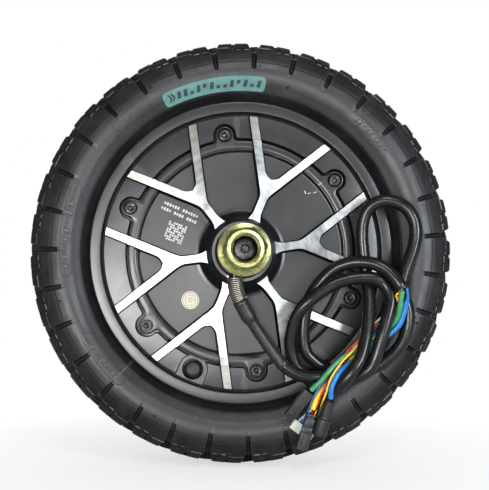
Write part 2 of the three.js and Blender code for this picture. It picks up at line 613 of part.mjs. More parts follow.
// Name, kind, colour, centre line as [x, z, height] from the jacket to the plug.
const WIRES = [
  ['wire_phase_blue', PHASE_WIRE, 0x1d4fae, [
    [92.13, -21.36, 49.94], [93.11, -26.86, 48.31], [92.7, -32.31, 46.65], [91.6, -37.54, 45.62],
    [89.7, -42.55, 44.34], [86.01, -46.69, 42.95], [81.51, -50.46, 41.45], [76.76, -54.31, 40.89],
    [71.86, -58.12, 41.02], [66.78, -61.66, 41.46], [61.68, -64.56, 43.28], [56.83, -68.06, 45.48],
    [52.87, -72.45, 47.84], [50.36, -78.08, 48.39], [49.94, -84.25, 46.9],
  ]],
  ['wire_phase_green', PHASE_WIRE, 0x1f8a3c, [
    [89.68, -22.83, 51.58], [89.3, -28.17, 50.32], [88.93, -32.95, 48.88], [88.47, -37.5, 46.44],
    [86.64, -41.49, 43.54], [83.1, -45.01, 41.51], [78.39, -48.23, 40.77], [73.71, -51.66, 40.08],
    [68.79, -55.24, 39.9], [63.33, -58.24, 41.51], [57.81, -61.39, 42.89], [52.85, -65.35, 44.3],
    [48.27, -69.95, 46.03], [43.94, -75.08, 46.29], [39.19, -79.81, 44.6],
  ]],
  ['wire_phase_yellow', PHASE_WIRE, 0xe0b820, [
    [89.89, -23.13, 48.31], [90.38, -27.6, 44.84], [89.07, -32.2, 41.66], [86.76, -36.97, 39.99],
    [83.86, -41.83, 38.86], [80.63, -46.69, 37.95], [76.99, -51.47, 37.88], [72.54, -55.84, 38.18],
    [67.87, -60, 37.94], [61.91, -63.34, 38.47], [57.26, -67.57, 40.96], [53.04, -70.96, 44.27],
    [48.96, -75.43, 45.11], [45.65, -80.23, 44.32], [42.6, -85.17, 43.25], [40.22, -90.98, 43.8],
  ]],
  ['wire_hall_yellow', HALL_WIRE, 0xe8c930, [
    [88.07, -24.07, 50.57], [86.88, -25.33, 49.15], [88.84, -29.7, 47.74], [88.16, -34.49, 44.83],
    [84.95, -38.98, 42.06], [81.16, -42.27, 40.51], [76.56, -45.38, 39.36], [71.84, -49.08, 39.62],
    [67.32, -53.32, 41.17], [62.75, -57.73, 43.61], [57.79, -62.62, 45.39], [53.23, -68.23, 47.26],
    [49.35, -74.39, 48.25], [47.24, -81.3, 47.01], [44.59, -88.3, 43.83], [41.27, -95.24, 40.62],
    [37.54, -101.95, 37.8],
  ]],
  ['wire_hall_red', HALL_WIRE, 0xb3221c, [
    [88.16, -24.19, 49.26], [89.33, -28.28, 46.57], [88.41, -32.48, 43.65], [85.12, -36.04, 41.65],
    [80.93, -39.73, 40.2], [76.33, -43.78, 39.6], [71.54, -47.97, 39.21], [66.75, -52.38, 39.56],
    [61.84, -57.07, 39.96], [57.38, -62.62, 40.8], [52.93, -68.21, 42.44], [48.36, -73.06, 46.03],
    [45.47, -80.01, 46.58], [43.86, -87.34, 43.69], [40.43, -94.02, 40.06], [36.04, -100.76, 37.8],
  ]],
  ['wire_hall_white', HALL_WIRE, 0xe6e6e2, [
    [91.48, -22.2, 47.05], [89.52, -25.41, 43.66], [87.61, -30.19, 41.76], [84.14, -34.7, 40.53],
    [79.87, -39.11, 39.56], [75.58, -43.59, 38.65], [71.27, -48.19, 38.06], [67.06, -52.78, 38.48],
    [62.77, -57.49, 39.32], [58.98, -62.39, 41.09], [55.44, -66.46, 43.93], [51.53, -71.21, 46.62],
    [48.66, -77.24, 46.98], [45.97, -83.17, 44.87], [42.86, -88.65, 41.4], [37.79, -93.49, 39.13],
    [33.04, -98.39, 37.8],
  ]],
  ['wire_hall_green', HALL_WIRE, 0x2aa14a, [
    [92.42, -21.46, 47.73], [91.28, -25.35, 44.02], [88.54, -29.7, 41], [85.34, -34.68, 39.7],
    [81.73, -39.85, 39.09], [77.9, -44.98, 38.35], [73.91, -50.15, 37.52], [69.92, -55.14, 37.64],
    [66.06, -59.73, 39.84], [61.4, -65.85, 40.5], [56.47, -70.87, 43.38], [51.22, -75.61, 46.01],
    [47.67, -82.02, 45.3], [45.13, -88.92, 42.75], [43.11, -96.43, 40.08], [40.54, -104.32, 37.8],
  ]],
  ['wire_hall_blue', HALL_WIRE, 0x2a6fd0, [
    [92.14, -21.05, 52.16], [92.77, -26.79, 50.79], [90.28, -32.16, 47.27], [87.41, -37.11, 44.29],
    [83.53, -41.74, 41.71], [78.72, -45.9, 38.92], [75.48, -51.01, 36.16], [73.09, -57.22, 36.49],
    [68.92, -62.03, 38.68], [63.05, -65.07, 40.97], [56.61, -66.18, 42.53], [50.43, -69.15, 43.69],
    [47.17, -74.21, 45.11], [43.29, -79.84, 44.14], [39.94, -85.97, 42.24], [37.59, -92.93, 40.6],
    [34.54, -99.58, 37.8],
  ]],
  ['wire_hall_black', HALL_WIRE, 0x17181a, [
    [91.12, -21.67, 52.84], [91.7, -26.94, 50.32], [90.04, -30.63, 46.33], [87.4, -35.08, 43.3],
    [83.05, -39.2, 41.4], [78.48, -43.56, 40.9], [74.18, -48.6, 39.78], [69.04, -52.74, 38.74],
    [64.17, -57.63, 38.89], [60.06, -62.49, 41.83], [55, -66, 45.05], [50.11, -71.31, 46.46],
    [46.73, -79.37, 47.25], [44.13, -87.42, 45.1], [42.18, -95.59, 41.51], [39.04, -103.14, 37.8],
  ]],
];

// ---------------------------------------------------------------------- plugs
// Three single-pin phase plugs and one signal plug. Each stands on the line
// between two [x, z, height] points: joined body parts less the end opening.
const PLUGS = [
  {
    name: 'connector_phase_yellow',
    line: [[39.7, -93.3, 43.6], [33.5, -114.3, 43.4]],
    body: [
      box([-2.3, 2.3], [0.4, 7.2], [-2.3, 2.3]),
      box([-3.25, 3.25], [7, 21.8], [-3, 3]),
    ],
    opening: box([-1.5, 1.5], [15, 23], [-1.4, 1.4]),
    material: plastic(0x1b1c1e, 0.5),
  },
  {
    name: 'connector_phase_blue',
    line: [[49.6, -85.5, 46.6], [43.7, -106.3, 43.2]],
    body: [rod(3, [0.4, 11], 12), rod(4.3, [10.6, 21.4], 14)],
    opening: rod(2.2, [14, 23], 8),
    material: plastic(0x1b1c1e, 0.6),
  },
  {
    name: 'connector_phase_green',
    line: [[38.4, -80.4, 44.3], [25.8, -96.7, 42.2]],
    body: [box([-3.1, 3.1], [0.4, 19.6], [-2.5, 2.5])],
    opening: box([-1.5, 1.5], [13, 21], [-1.2, 1.2]),
    material: plastic(0x1b1c1e, 0.5),
  },
  {
    name: 'connector_hall',
    line: [[36.8, -101.4, 37.8], [33.1, -106.1, 37.8]],
    body: [box([-7.2, 7.2], [0.3, 6.2], [-1.8, 1.8])],
    opening: box([-6.3, 6.3], [3.4, 7], [-1.1, 1.1]),
    material: plastic(0xd8d6cf, 0.5),
  },
];

function plug({ line, body, opening }) {
  const placed = (geometry) => standing(geometry, ...line.map(point));
  return cut(join(...body.map(placed)), placed(opening));
}

// ------------------------------------------------------------------- assembly
add('tyre', tyre(), MATERIALS.rubber);
add('rim', rim(), MATERIALS.blackPaint);
add('front_cover', frontCover(), MATERIALS.blackPaint);
add('rear_cover', rearCover(), MATERIALS.blackPaint);
screwSites.forEach(({ at }, i) => {
  add(`front_cover_screw_${i + 1}`, frontScrew(at), MATERIALS.darkSteel);
  add(`rear_cover_screw_${i + 1}`, rearScrew(at), MATERIALS.darkSteel);
});

add('flux_ring', lathe(FLUX_RING, 32), MATERIALS.fluxRing);
add('magnet_ring', magnetRing(), MATERIALS.magnet);
add('stator_core', statorCore(), MATERIALS.statorCore);
add('stator_winding', statorWinding(), MATERIALS.copper);
add('stator_carrier', lathe(mirrored(CARRIER_HALF), 18), MATERIALS.bareAluminium);
add('hall_sensor_board', hallSensorBoard(), MATERIALS.circuitBoard);

for (const [side, sign] of SIDES) addBearing(side, sign);
add('axle', axle(), MATERIALS.darkSteel);
for (const [side, sign] of SIDES) {
  const nut = axleNut();
  const placed = sign > 0 ? nut : solid(geometryOf(nut).rotateX(Math.PI));
  add(`${side}_axle_nut`, placed, MATERIALS.zincYellow);
}

add('valve_stem', onValve(lathe(VALVE_STEM, 12)), MATERIALS.rubber);
add('valve_pin', onValve(lathe(VALVE_PIN, 8)), MATERIALS.brightSteel);
add('valve_cap', onValve(lathe(VALVE_CAP, 12)), MATERIALS.rubber);

add('main_cable', mainCable(), MATERIALS.cableJacket);
add('cable_guard_spring', guardSpring(), MATERIALS.guardSpring);
add('cable_sleeve', cableSleeve(), MATERIALS.shrinkSleeve);
for (const [name, { radius, sides }, color, path] of WIRES) {
  const wire = sweep(curveThrough(path.map(point)), radius, WIRE_STEPS, sides);
  add(name, wire, plastic(color, WIRE_ROUGHNESS));
}
for (const item of PLUGS) add(item.name, plug(item), item.material);

export default wheel;
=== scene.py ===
# A tyred hub-motor wheel with its axle, nuts, bearings, valve and coiled cable with plugs.
# The wheel axis lies along Blender's Y. The front is the cable side, which faces -Y.
# Shapes are drawn in millimetres as (x, z, h): x right, z up, h towards the viewer (-Y).
# Angles are in degrees clockwise from straight up, seen from the front.
import math
import random

import bmesh
import bpy
import numpy as np
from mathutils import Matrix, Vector


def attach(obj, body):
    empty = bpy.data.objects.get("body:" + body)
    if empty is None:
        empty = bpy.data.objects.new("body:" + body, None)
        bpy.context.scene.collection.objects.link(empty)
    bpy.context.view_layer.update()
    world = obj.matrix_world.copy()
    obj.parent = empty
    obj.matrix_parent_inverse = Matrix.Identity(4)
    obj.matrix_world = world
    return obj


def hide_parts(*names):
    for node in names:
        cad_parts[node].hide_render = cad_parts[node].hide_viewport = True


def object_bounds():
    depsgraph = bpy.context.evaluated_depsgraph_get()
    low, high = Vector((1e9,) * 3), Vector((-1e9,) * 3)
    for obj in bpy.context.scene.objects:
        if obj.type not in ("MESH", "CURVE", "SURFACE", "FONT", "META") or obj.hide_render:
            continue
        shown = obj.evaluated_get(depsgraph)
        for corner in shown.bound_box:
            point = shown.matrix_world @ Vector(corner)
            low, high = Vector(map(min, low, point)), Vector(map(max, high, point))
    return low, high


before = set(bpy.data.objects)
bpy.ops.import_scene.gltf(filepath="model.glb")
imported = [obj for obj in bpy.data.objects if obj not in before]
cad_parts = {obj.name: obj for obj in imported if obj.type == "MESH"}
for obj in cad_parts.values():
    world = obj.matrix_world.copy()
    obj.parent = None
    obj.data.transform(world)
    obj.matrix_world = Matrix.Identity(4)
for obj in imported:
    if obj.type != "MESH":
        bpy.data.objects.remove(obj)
CAD_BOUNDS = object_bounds()

random.seed(7)
TAU = 2 * math.pi
SIDES = (("front", 1), ("rear", -1))

# Driving places shared by several pieces.
SCREW_CIRCLE = 71
SCREW_STEP = 60
SCREW_DEGREES = [-7.7 + SCREW_STEP * i for i in range(6)]
SPOKE_DEGREES = [22.3 + 60 * i for i in range(6)]
VALVE_DEGREES = 202.3
THREAD_PITCH = 1.5
THREAD_STEP = THREAD_PITCH / 8  # height between rings of a modelled thread


# ------------------------------------------------------------------ mesh tools
def add_object(name, data):
    obj = bpy.data.objects.new(name, data)
    bpy.context.scene.collection.objects.link(obj)
    return obj


def shade(mesh, angle):
    """Smooth faces, with sharp edges above an angle in degrees."""
    mesh.polygons.foreach_set("use_smooth", [True] * len(mesh.polygons))
    mesh.set_sharp_from_angle(angle=math.radians(angle))
    mesh.update()


class Part:
    """Collects closed shells in (x, z, h) millimetres, then becomes one mesh object."""

    def __init__(self, name):
        self.name = name
        self.points, self.faces, self.mats = [], [], []
        self.count = 0

    def add(self, points, faces, mats=0):
        """Adds a shell; mats is one slot number or a list with one for each face."""
        points = np.asarray(points, float).reshape(-1, 3)
        self.points.append(points)
        self.faces += [tuple(i + self.count for i in face) for face in faces]
        self.mats += [mats] * len(faces) if isinstance(mats, int) else mats
        self.count += len(points)

    def mesh(self, materials=()):
        points = np.vstack(self.points)
        metres = np.c_[points[:, 0], -points[:, 2], points[:, 1]] / 1000.0
        mesh = bpy.data.meshes.new(self.name)
        mesh.from_pydata(metres.tolist(), [], self.faces)
        for material in materials:
            mesh.materials.append(material)
        if materials:
            mesh.polygons.foreach_set("material_index", np.array(self.mats, np.int32))
        edit = bmesh.new()
        edit.from_mesh(mesh)
        bmesh.ops.recalc_face_normals(edit, faces=edit.faces)
        edit.to_mesh(mesh)
        edit.free()
        return mesh

    def finish(self, body, slot, materials, nodes=(), angle=32):
        """Makes the object, which rides a body and may replace CAD nodes."""
        mesh = self.mesh(materials)
        shade(mesh, angle)
        obj = add_object(self.name, mesh)
        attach(obj, body)
        if nodes:
            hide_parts(*nodes)
        return obj


def carve(obj, cutter, angle=30):
    """Subtracts a Part from an object and keeps the result as its mesh."""
    tool = add_object(cutter.name, cutter.mesh())
    modifier = obj.modifiers.new("cut", "BOOLEAN")
    modifier.operation = "DIFFERENCE"
    modifier.object = tool
    modifier.solver = "EXACT"
    graph = bpy.context.evaluated_depsgraph_get()
    mesh = bpy.data.meshes.new_from_object(obj.evaluated_get(graph))
    obj.modifiers.clear()
    obj.data = mesh
    edit = bmesh.new()
    edit.from_mesh(mesh)
    bmesh.ops.dissolve_degenerate(edit, dist=1e-6, edges=edit.edges)
    edit.to_mesh(mesh)
    edit.free()
    shade(mesh, angle)
    bpy.data.objects.remove(tool)


def smooth01(value):
    value = np.clip(value, 0, 1)
    return value * value * (3 - 2 * value)


def polar(degrees, radius):
    return radius * math.sin(math.radians(degrees)), radius * math.cos(math.radians(degrees))


def turned(points, degrees):
    """Points turned clockwise about the wheel axis."""
    cos, sin = math.cos(math.radians(degrees)), math.sin(math.radians(degrees))
    points = np.asarray(points, float)
    out = points.copy()
    out[..., 0] = points[..., 0] * cos + points[..., 1] * sin
    out[..., 1] = -points[..., 0] * sin + points[..., 1] * cos
    return out


def at_height(outline, height):
    """Plan outline raised to one height."""
    return np.c_[np.asarray(outline, float), np.full(len(outline), height)]


def on_side(profile, sign):
    """Profile as given for the front (1), or mirrored to the rear (-1)."""
    return [(point[0], sign * point[1], *point[2:]) for point in profile]


def standing(start, end):
    """Placement that lays a piece built along h from start to end.

    It matches the turn of the CAD piece. On pieces that lie across the wheel axis,
    the local second coordinate faces the viewer.
    """
    origin = Vector((start[0], -start[2], start[1]))
    along = (Vector((end[0], -end[2], end[1])) - origin).normalized()
    front = Vector((0, -1, 0))
    if abs(along.dot(front)) > 0.9:
        turn = np.array(front.rotation_difference(along).to_matrix())
    else:
        across = front.cross(along).normalized()
        turn = np.array([across, -along, across.cross(-along)]).T

    def place(points):
        points = np.asarray(points, float)
        world = np.stack([points[..., 0], -points[..., 2], points[..., 1]], -1) @ turn.T
        world = world + np.array(origin)
        return np.stack([world[..., 0], world[..., 2], -world[..., 1]], -1)
    return place


# --------------------------------------------------------------- shape builders
def fillet(profile, radius, steps=3):
    """Rounds the inner corners of an open outline.

    Points are (radius, height[, material[, own rounding]]).
    """
    points = [(*point, *(0, radius)[len(point) - 2:]) for point in profile]
    out = [points[0][:3]]
    for before, here, after in zip(points, points[1:], points[2:]):
        corner = np.array(here[:2], float)
        mat, rounding = here[2:]
        back = np.array(before[:2], float) - corner
        ahead = np.array(after[:2], float) - corner
        back_length, ahead_length = np.linalg.norm(back), np.linalg.norm(ahead)
        if rounding <= 0 or back_length < 1e-6 or ahead_length < 1e-6:
            out.append((*corner, mat))
            continue
        back, ahead = back / back_length, ahead / ahead_length
        angle = math.acos(max(-1, min(1, float(back @ ahead))))
        if angle > math.radians(172):
            out.append((*corner, mat))
            continue
        trim = min(rounding / math.tan(angle / 2), 0.45 * back_length, 0.45 * ahead_length)
        for i in range(steps + 1):
            part = i / steps
            point = ((1 - part) ** 2 * (corner + back * trim) + 2 * part * (1 - part) * corner
                     + part * part * (corner + ahead * trim))
            out.append((*point, mat if i == steps else before[2]))
    out.append(points[-1][:3])
    return out


def band_faces(rings, count, closed=True):
    """Quads between neighbouring rings of count points; closed joins the last to the first."""
    faces = []
    for i in range(rings if closed else rings - 1):
        here, ahead = i * count, (i + 1) % rings * count
        for j in range(count):
            k = (j + 1) % count
            faces.append((here + j, here + k, ahead + k, ahead + j))
    return faces


def lathe(part, profile, segments, centre=(0.0, 0.0), warp=None, place=None, mat=None):
    """Turns a closed profile about an axis parallel to the wheel's.

    Points are (radius, height[, material]); warp(angle, radius, height) gives new radii.
    """
    angle = np.arange(segments) * TAU / segments
    radius = np.array([point[0] for point in profile], float)[None, :].repeat(segments, 0)
    height = np.array([point[1] for point in profile], float)[None, :].repeat(segments, 0)
    if warp:
        radius = warp(angle[:, None], radius, height)
    x = centre[0] + radius * np.sin(angle)[:, None]
    z = centre[1] + radius * np.cos(angle)[:, None]
    points = np.stack([x, z, height], -1).reshape(-1, 3)
    if place:
        points = place(points)
    if mat is None:
        mat = [point[2] if len(point) > 2 else 0 for point in profile] * segments
    part.add(points, band_faces(segments, len(profile)), mat)


def loft(part, rings, mat=0):
    """Joins equal closed loops of points, with one face over each end."""
    count = len(rings[0])
    last = (len(rings) - 1) * count
    faces = band_faces(len(rings), count, closed=False)
    faces += [tuple(range(count)), tuple(last + i for i in range(count))]
    part.add(np.vstack([np.asarray(ring, float) for ring in rings]), faces, mat)


def sample(along, curve, at):
    return np.stack([np.interp(at, along, curve[:, i]) for i in range(3)], -1)


def spline(points, step):
    """Centripetal curve through the points, with the distance along it, evenly spaced."""
    points = np.asarray(points, float)
    points = np.vstack([2 * points[0] - points[1], points, 2 * points[-1] - points[-2]])
    out = []
    for i in range(1, len(points) - 2):
        p0, p1, p2, p3 = points[i - 1:i + 3]
        t0 = 0.0
        t1 = t0 + np.linalg.norm(p1 - p0) ** 0.5
        t2 = t1 + np.linalg.norm(p2 - p1) ** 0.5
        t3 = t2 + np.linalg.norm(p3 - p2) ** 0.5
        now = np.linspace(t1, t2, 24, endpoint=False)[:, None]
        first = (t1 - now) / (t1 - t0) * p0 + (now - t0) / (t1 - t0) * p1
        middle = (t2 - now) / (t2 - t1) * p1 + (now - t1) / (t2 - t1) * p2
        last = (t3 - now) / (t3 - t2) * p2 + (now - t2) / (t3 - t2) * p3
        early = (t2 - now) / (t2 - t0) * first + (now - t0) / (t2 - t0) * middle
        late = (t3 - now) / (t3 - t1) * middle + (now - t1) / (t3 - t1) * last
        out.append((t2 - now) / (t2 - t1) * early + (now - t1) / (t2 - t1) * late)
    curve = np.vstack(out + [points[-2:-1]])
    along = np.r_[0, np.cumsum(np.linalg.norm(np.diff(curve, axis=0), axis=1))]
    at = np.linspace(0, along[-1], max(3, int(round(along[-1] / step)) + 1))
    return sample(along, curve, at), at


def frames(curve):
    """Tangents, normals and binormals that turn as little as possible along a curve."""
    tangent = np.gradient(curve, axis=0)
    tangent /= np.linalg.norm(tangent, axis=1)[:, None]
    normal = np.zeros_like(curve)
    guide = np.array([0.0, 0.0, 1.0] if abs(tangent[0, 2]) < 0.8 else [1.0, 0.0, 0.0])
    normal[0] = np.cross(tangent[0], guide)
    normal[0] /= np.linalg.norm(normal[0])
    for i in range(1, len(curve)):
        moved = normal[i - 1] - tangent[i] * (normal[i - 1] @ tangent[i])
        normal[i] = moved / np.linalg.norm(moved)
    return tangent, normal, np.cross(tangent, normal)


def tube(part, curve, radius, sides, round_ends=True):
    """Round rod along a curve; radius is one value or one for each point."""
    tangent, normal, binormal = frames(curve)
    radii = np.full(len(curve), float(radius)) if np.isscalar(radius) else radius
    angle = (np.arange(sides) * TAU / sides)[:, None]

    def ring(i, scale=1.0):
        spread = np.cos(angle) * normal[i] + np.sin(angle) * binormal[i]
        return curve[i] + spread * radii[i] * scale
    rings = [ring(i) for i in range(len(curve))]
    if round_ends:
        rings = [ring(0, scale) for scale in (0.55, 0.85)] + rings
        rings += [ring(-1, scale) + tangent[-1] * 0.25 * (1 - scale) for scale in (0.85, 0.55)]
    loft(part, rings)


def rounded(half_x, half_y, rounding, steps=4, centre=(0, 0)):
    """Plan outline of a rectangle with round corners."""
    points = []
    for sign_x, sign_y, start in ((1, 1, 0), (-1, 1, 90), (-1, -1, 180), (1, -1, 270)):
        for i in range(steps + 1):
            angle = math.radians(start + 90 * i / steps)
            points.append((centre[0] + sign_x * (half_x - rounding) + rounding * math.cos(angle),
                           centre[1] + sign_y * (half_y - rounding) + rounding * math.sin(angle)))
    return points


def rounded_box(part, place, half_x, half_y, low, high, rounding, mat=0, x=0, end=0.35):
    """Box standing along h, with rounded long edges and eased ends."""
    rings = []
    for inset, height in ((end, low), (end * 0.3, low + end * 0.3), (0, low + end),
                          (0, high - end), (end * 0.3, high - end * 0.3), (end, high)):
        corner = max(rounding - inset, 0.05)
        outline = rounded(half_x - inset, half_y - inset, corner, 3, (x, 0))
        rings.append(place(at_height(outline, height)))
    loft(part, rings, mat)


def open_box(part, place, half_x, half_y, low, high, wall, depth, rounding, end=0.3):
    """Rounded box with a hollow sunk into its far end."""
    rows = [(end, low, rounding - end * 0.5), (0, low + end, rounding), (0, high - end, rounding),
            (end * 0.6, high, rounding - 0.1), (wall - 0.15, high, 0.3),
            (wall, high - 0.25, 0.25), (wall, high - depth, 0.2)]
    loft(part, [place(at_height(rounded(half_x - inset, half_y - inset, max(corner, 0.12)),
                                height)) for inset, height, corner in rows])


def hexagon(angle, flats, phase):
    """Radius of a hexagon at an angle, from its width across flats; angles in radians."""
    sector = TAU / 6
    return flats / 2 / np.cos((angle - phase) % sector - sector / 2)


def loop_normals(loop):
    """Outward directions of a closed plan loop, lengthened at corners to mitre them."""
    points = np.asarray(loop, float)
    before = points - np.roll(points, 1, 0)
    after = np.roll(points, -1, 0) - points
    area = 0.5 * np.sum(points[:, 0] * np.roll(points[:, 1], -1)
                        - np.roll(points[:, 0], -1) * points[:, 1])
    sign = 1.0 if area > 0 else -1.0
    first, second = (np.stack([edge[:, 1], -edge[:, 0]], -1)
                     / (np.linalg.norm(edge, axis=1)[:, None] + 1e-12)
                     for edge in (before, after))
    mean = first + second
    mean /= np.linalg.norm(mean, axis=1)[:, None] + 1e-12
    cos = np.clip(np.sum(mean * first, axis=1), 0.55, 1)
    return sign * mean / cos[:, None]


def prism(part, outline, low, high, edge, place=None):
    """Straight piece from a plan outline, with a rounded top edge."""
    outline = np.asarray(outline, float)
    normals = loop_normals(outline)
    rings = [at_height(outline, low)]
    for i in range(3):
        angle = math.pi / 4 * i
        grow = -edge * (1 - math.cos(angle))
        rings.append(at_height(outline + normals * grow, high - edge * (1 - math.sin(angle))))
    loft(part, [place(ring) for ring in rings] if place else rings)


# --------------------------------------------------------------- material tools
class Shader:
    """A new material, with short ways to add and link its nodes."""

    def __init__(self, name):
        self.material = bpy.data.materials.new(name)
        self.material.use_nodes = True
        self.tree = self.material.node_tree
        self.tree.nodes.clear()
        self.output = self.node("ShaderNodeOutputMaterial")
        self.bsdf = self.node("ShaderNodeBsdfPrincipled")
        self.feed(self.output.inputs[0], self.bsdf.outputs[0])
        self.coords = self.node("ShaderNodeTexCoord").outputs["Object"]

    def node(self, kind, **settings):
        node = self.tree.nodes.new(kind)
        for key, value in settings.items():
            setattr(node, key, value)
        return node

    def feed(self, socket, value):
        """Gives an input a number, a colour or a link."""
        if isinstance(value, (int, float)):
            socket.default_value = value
        elif isinstance(value, tuple):
            socket.default_value = (*value, 1)
        else:
            self.tree.links.new(value, socket)

    def set(self, name, value):
        self.feed(self.bsdf.inputs[name], value)

    def noise(self, scale, detail=4, roughness=0.55, distortion=0.0, vector=None):
        node = self.node("ShaderNodeTexNoise")
        node.inputs["Scale"].default_value = scale
        node.inputs["Detail"].default_value = detail
        node.inputs["Roughness"].default_value = roughness
        node.inputs["Distortion"].default_value = distortion
        self.feed(node.inputs["Vector"], self.coords if vector is None else vector)
        return node.outputs["Fac"]

    def ramp(self, factor, *stops):
        """Colour ramp from (position, colour) stops."""
        node = self.node("ShaderNodeValToRGB")
        elements = node.color_ramp.elements
        for element, (position, colour) in zip(elements, (stops[0], stops[-1])):
            element.position, element.color = position, (*colour, 1)
        for position, colour in stops[1:-1]:
            elements.new(position).color = (*colour, 1)
        self.feed(node.inputs[0], factor)
        return node.outputs[0]

    def remap(self, value, source, to):
        node = self.node("ShaderNodeMapRange", clamp=True)
        for i, limit in enumerate((*source, *to)):
            node.inputs[i + 1].default_value = limit
        self.feed(node.inputs[0], value)
        return node.outputs[0]

    def math(self, operation, first, second=None):
        node = self.node("ShaderNodeMath", operation=operation)
        self.feed(node.inputs[0], first)
        if second is not None:
            self.feed(node.inputs[1], second)
        return node.outputs[0]

    def add(self, first, second):
        return self.math("ADD", first, second)

    def times(self, first, second):
        return self.math("MULTIPLY", first, second)

    def mix(self, factor, first, second):
        node = self.node("ShaderNodeMix", data_type="RGBA", blend_type="MIX")
        for i, value in ((0, factor), (6, first), (7, second)):
            self.feed(node.inputs[i], value)
        return node.outputs[2]

    def bump(self, height, strength, distance):
        node = self.node("ShaderNodeBump")
        node.inputs["Strength"].default_value = strength
        node.inputs["Distance"].default_value = distance
        self.feed(node.inputs["Height"], height)
        return node.outputs[0]

    def axes(self):
        node = self.node("ShaderNodeSeparateXYZ")
        self.feed(node.inputs[0], self.coords)
        return node.outputs

    def distance(self, first, second):
        """Length of the vector with these two components."""
        return self.math("SQRT", self.add(self.times(first, first), self.times(second, second)))

    def combine(self, x, y):
        node = self.node("ShaderNodeCombineXYZ")
        self.feed(node.inputs[0], x)
        self.feed(node.inputs[1], y)
        return node.outputs[0]

    def edges(self):
        return self.node("ShaderNodeNewGeometry").outputs["Pointiness"]

    def ragged_edges(self, noise, spread):
        """Edge sharpness broken up by noise."""
        return self.add(self.edges(), self.times(self.math("SUBTRACT", noise, 0.5), spread))


def grey(value):
    return (value, value, value)


def scaled(colour, factor):
    return tuple(factor * channel for channel in colour)


def surface(name, colour, rough, big, rough_vary=0.12, metal=0.0, spec=0.5, vary=0.25,
            grain=900, bump=0.1, depth=0.0001, dust=0.0, dust_colour=None,
            wear=0.0, wear_colour=None, coat=0.0, coat_rough=0.15):
    """A solid-coloured finish with mottling, grain, dust in patches and worn edges.

    big and grain are the noise scales of mottling and fine bumps; depth is in metres.
    """
    shader = Shader(name)
    broad = shader.noise(scale=big, detail=5, roughness=0.6)
    fine = shader.noise(scale=grain, detail=3, roughness=0.6)
    dark = tuple(channel * (1 - vary) for channel in colour)
    light = tuple(min(1, channel * (1 + vary) + 0.002) for channel in colour)
    paint = shader.ramp(broad, (0.3, dark), (0.7, light))
    if dust:
        patches = shader.times(shader.noise(scale=big * 2.3, detail=6, roughness=0.7),
                               shader.noise(scale=big * 14, detail=3, roughness=0.7))
        mask = shader.remap(patches, source=(0.22, 0.42), to=(0, dust))
        paint = shader.mix(mask, paint, dust_colour)
    if wear:
        edges = shader.ragged_edges(shader.noise(scale=320, roughness=0.7), spread=0.08)
        paint = shader.mix(shader.remap(edges, source=(0.53, 0.60), to=(0, wear)),
                           paint, wear_colour)
    shader.set("Base Color", paint)
    limits = (max(0.02, rough - rough_vary), min(1, rough + rough_vary))
    shader.set("Roughness", shader.remap(shader.noise(scale=big * 4, roughness=0.6),
                                         source=(0.3, 0.7), to=limits))
    shader.set("Metallic", metal)
    shader.set("Specular IOR Level", spec)
    shader.set("Coat Weight", coat)
    shader.set("Coat Roughness", coat_rough)
    shader.set("Normal", shader.bump(fine, strength=bump, distance=depth))
    return shader.material


def machined(name, tone, rough, blotch, tint=(1.0, 0.995, 0.98), rings=2600.0,
             bump=0.25, aniso=0.8):
    """Turned aluminium: concentric tool marks about the wheel axis, smeared stains.

    rings is how often the marks repeat along the radius; blotch is the stain contrast.
    """
    shader = Shader(name)
    axes = shader.axes()
    radius = shader.distance(axes[0], axes[2])
    angle = shader.math("ARCTAN2", axes[0], axes[2])
    marks = shader.noise(scale=1.0, detail=5, roughness=0.65, vector=shader.combine(
        shader.times(radius, rings), shader.times(angle, 1.2)))
    wide = shader.noise(scale=1.0, roughness=0.6, vector=shader.combine(
        shader.times(radius, rings * 0.12), shader.times(angle, 5.0)))
    stain = shader.noise(scale=90, detail=5, roughness=0.65)
    clouds = shader.add(shader.times(wide, 0.55), shader.times(stain, 0.45))
    metal = shader.ramp(clouds, (0.35, scaled(tint, tone * (1 - blotch))),
                        (0.62, scaled(tint, min(1, tone * (1 + 0.25 * blotch)))))
    metal = shader.mix(shader.remap(marks, source=(0.35, 0.75), to=(0.0, 0.45)),
                       metal, scaled(tint, tone * 0.45))
    shader.set("Base Color", metal)
    shader.set("Metallic", 1.0)
    mottling = shader.add(shader.times(marks, 0.5), shader.times(stain, 0.5))
    shader.set("Roughness", shader.remap(mottling, source=(0.3, 0.7),
                                         to=(rough - 0.08, rough + 0.16)))
    shader.set("Anisotropic", aniso)
    tangent = shader.node("ShaderNodeTangent", direction_type="RADIAL", axis="Y")
    shader.set("Tangent", tangent.outputs[0])
    shader.set("Normal", shader.bump(marks, strength=bump, distance=0.00004))
    return shader.material


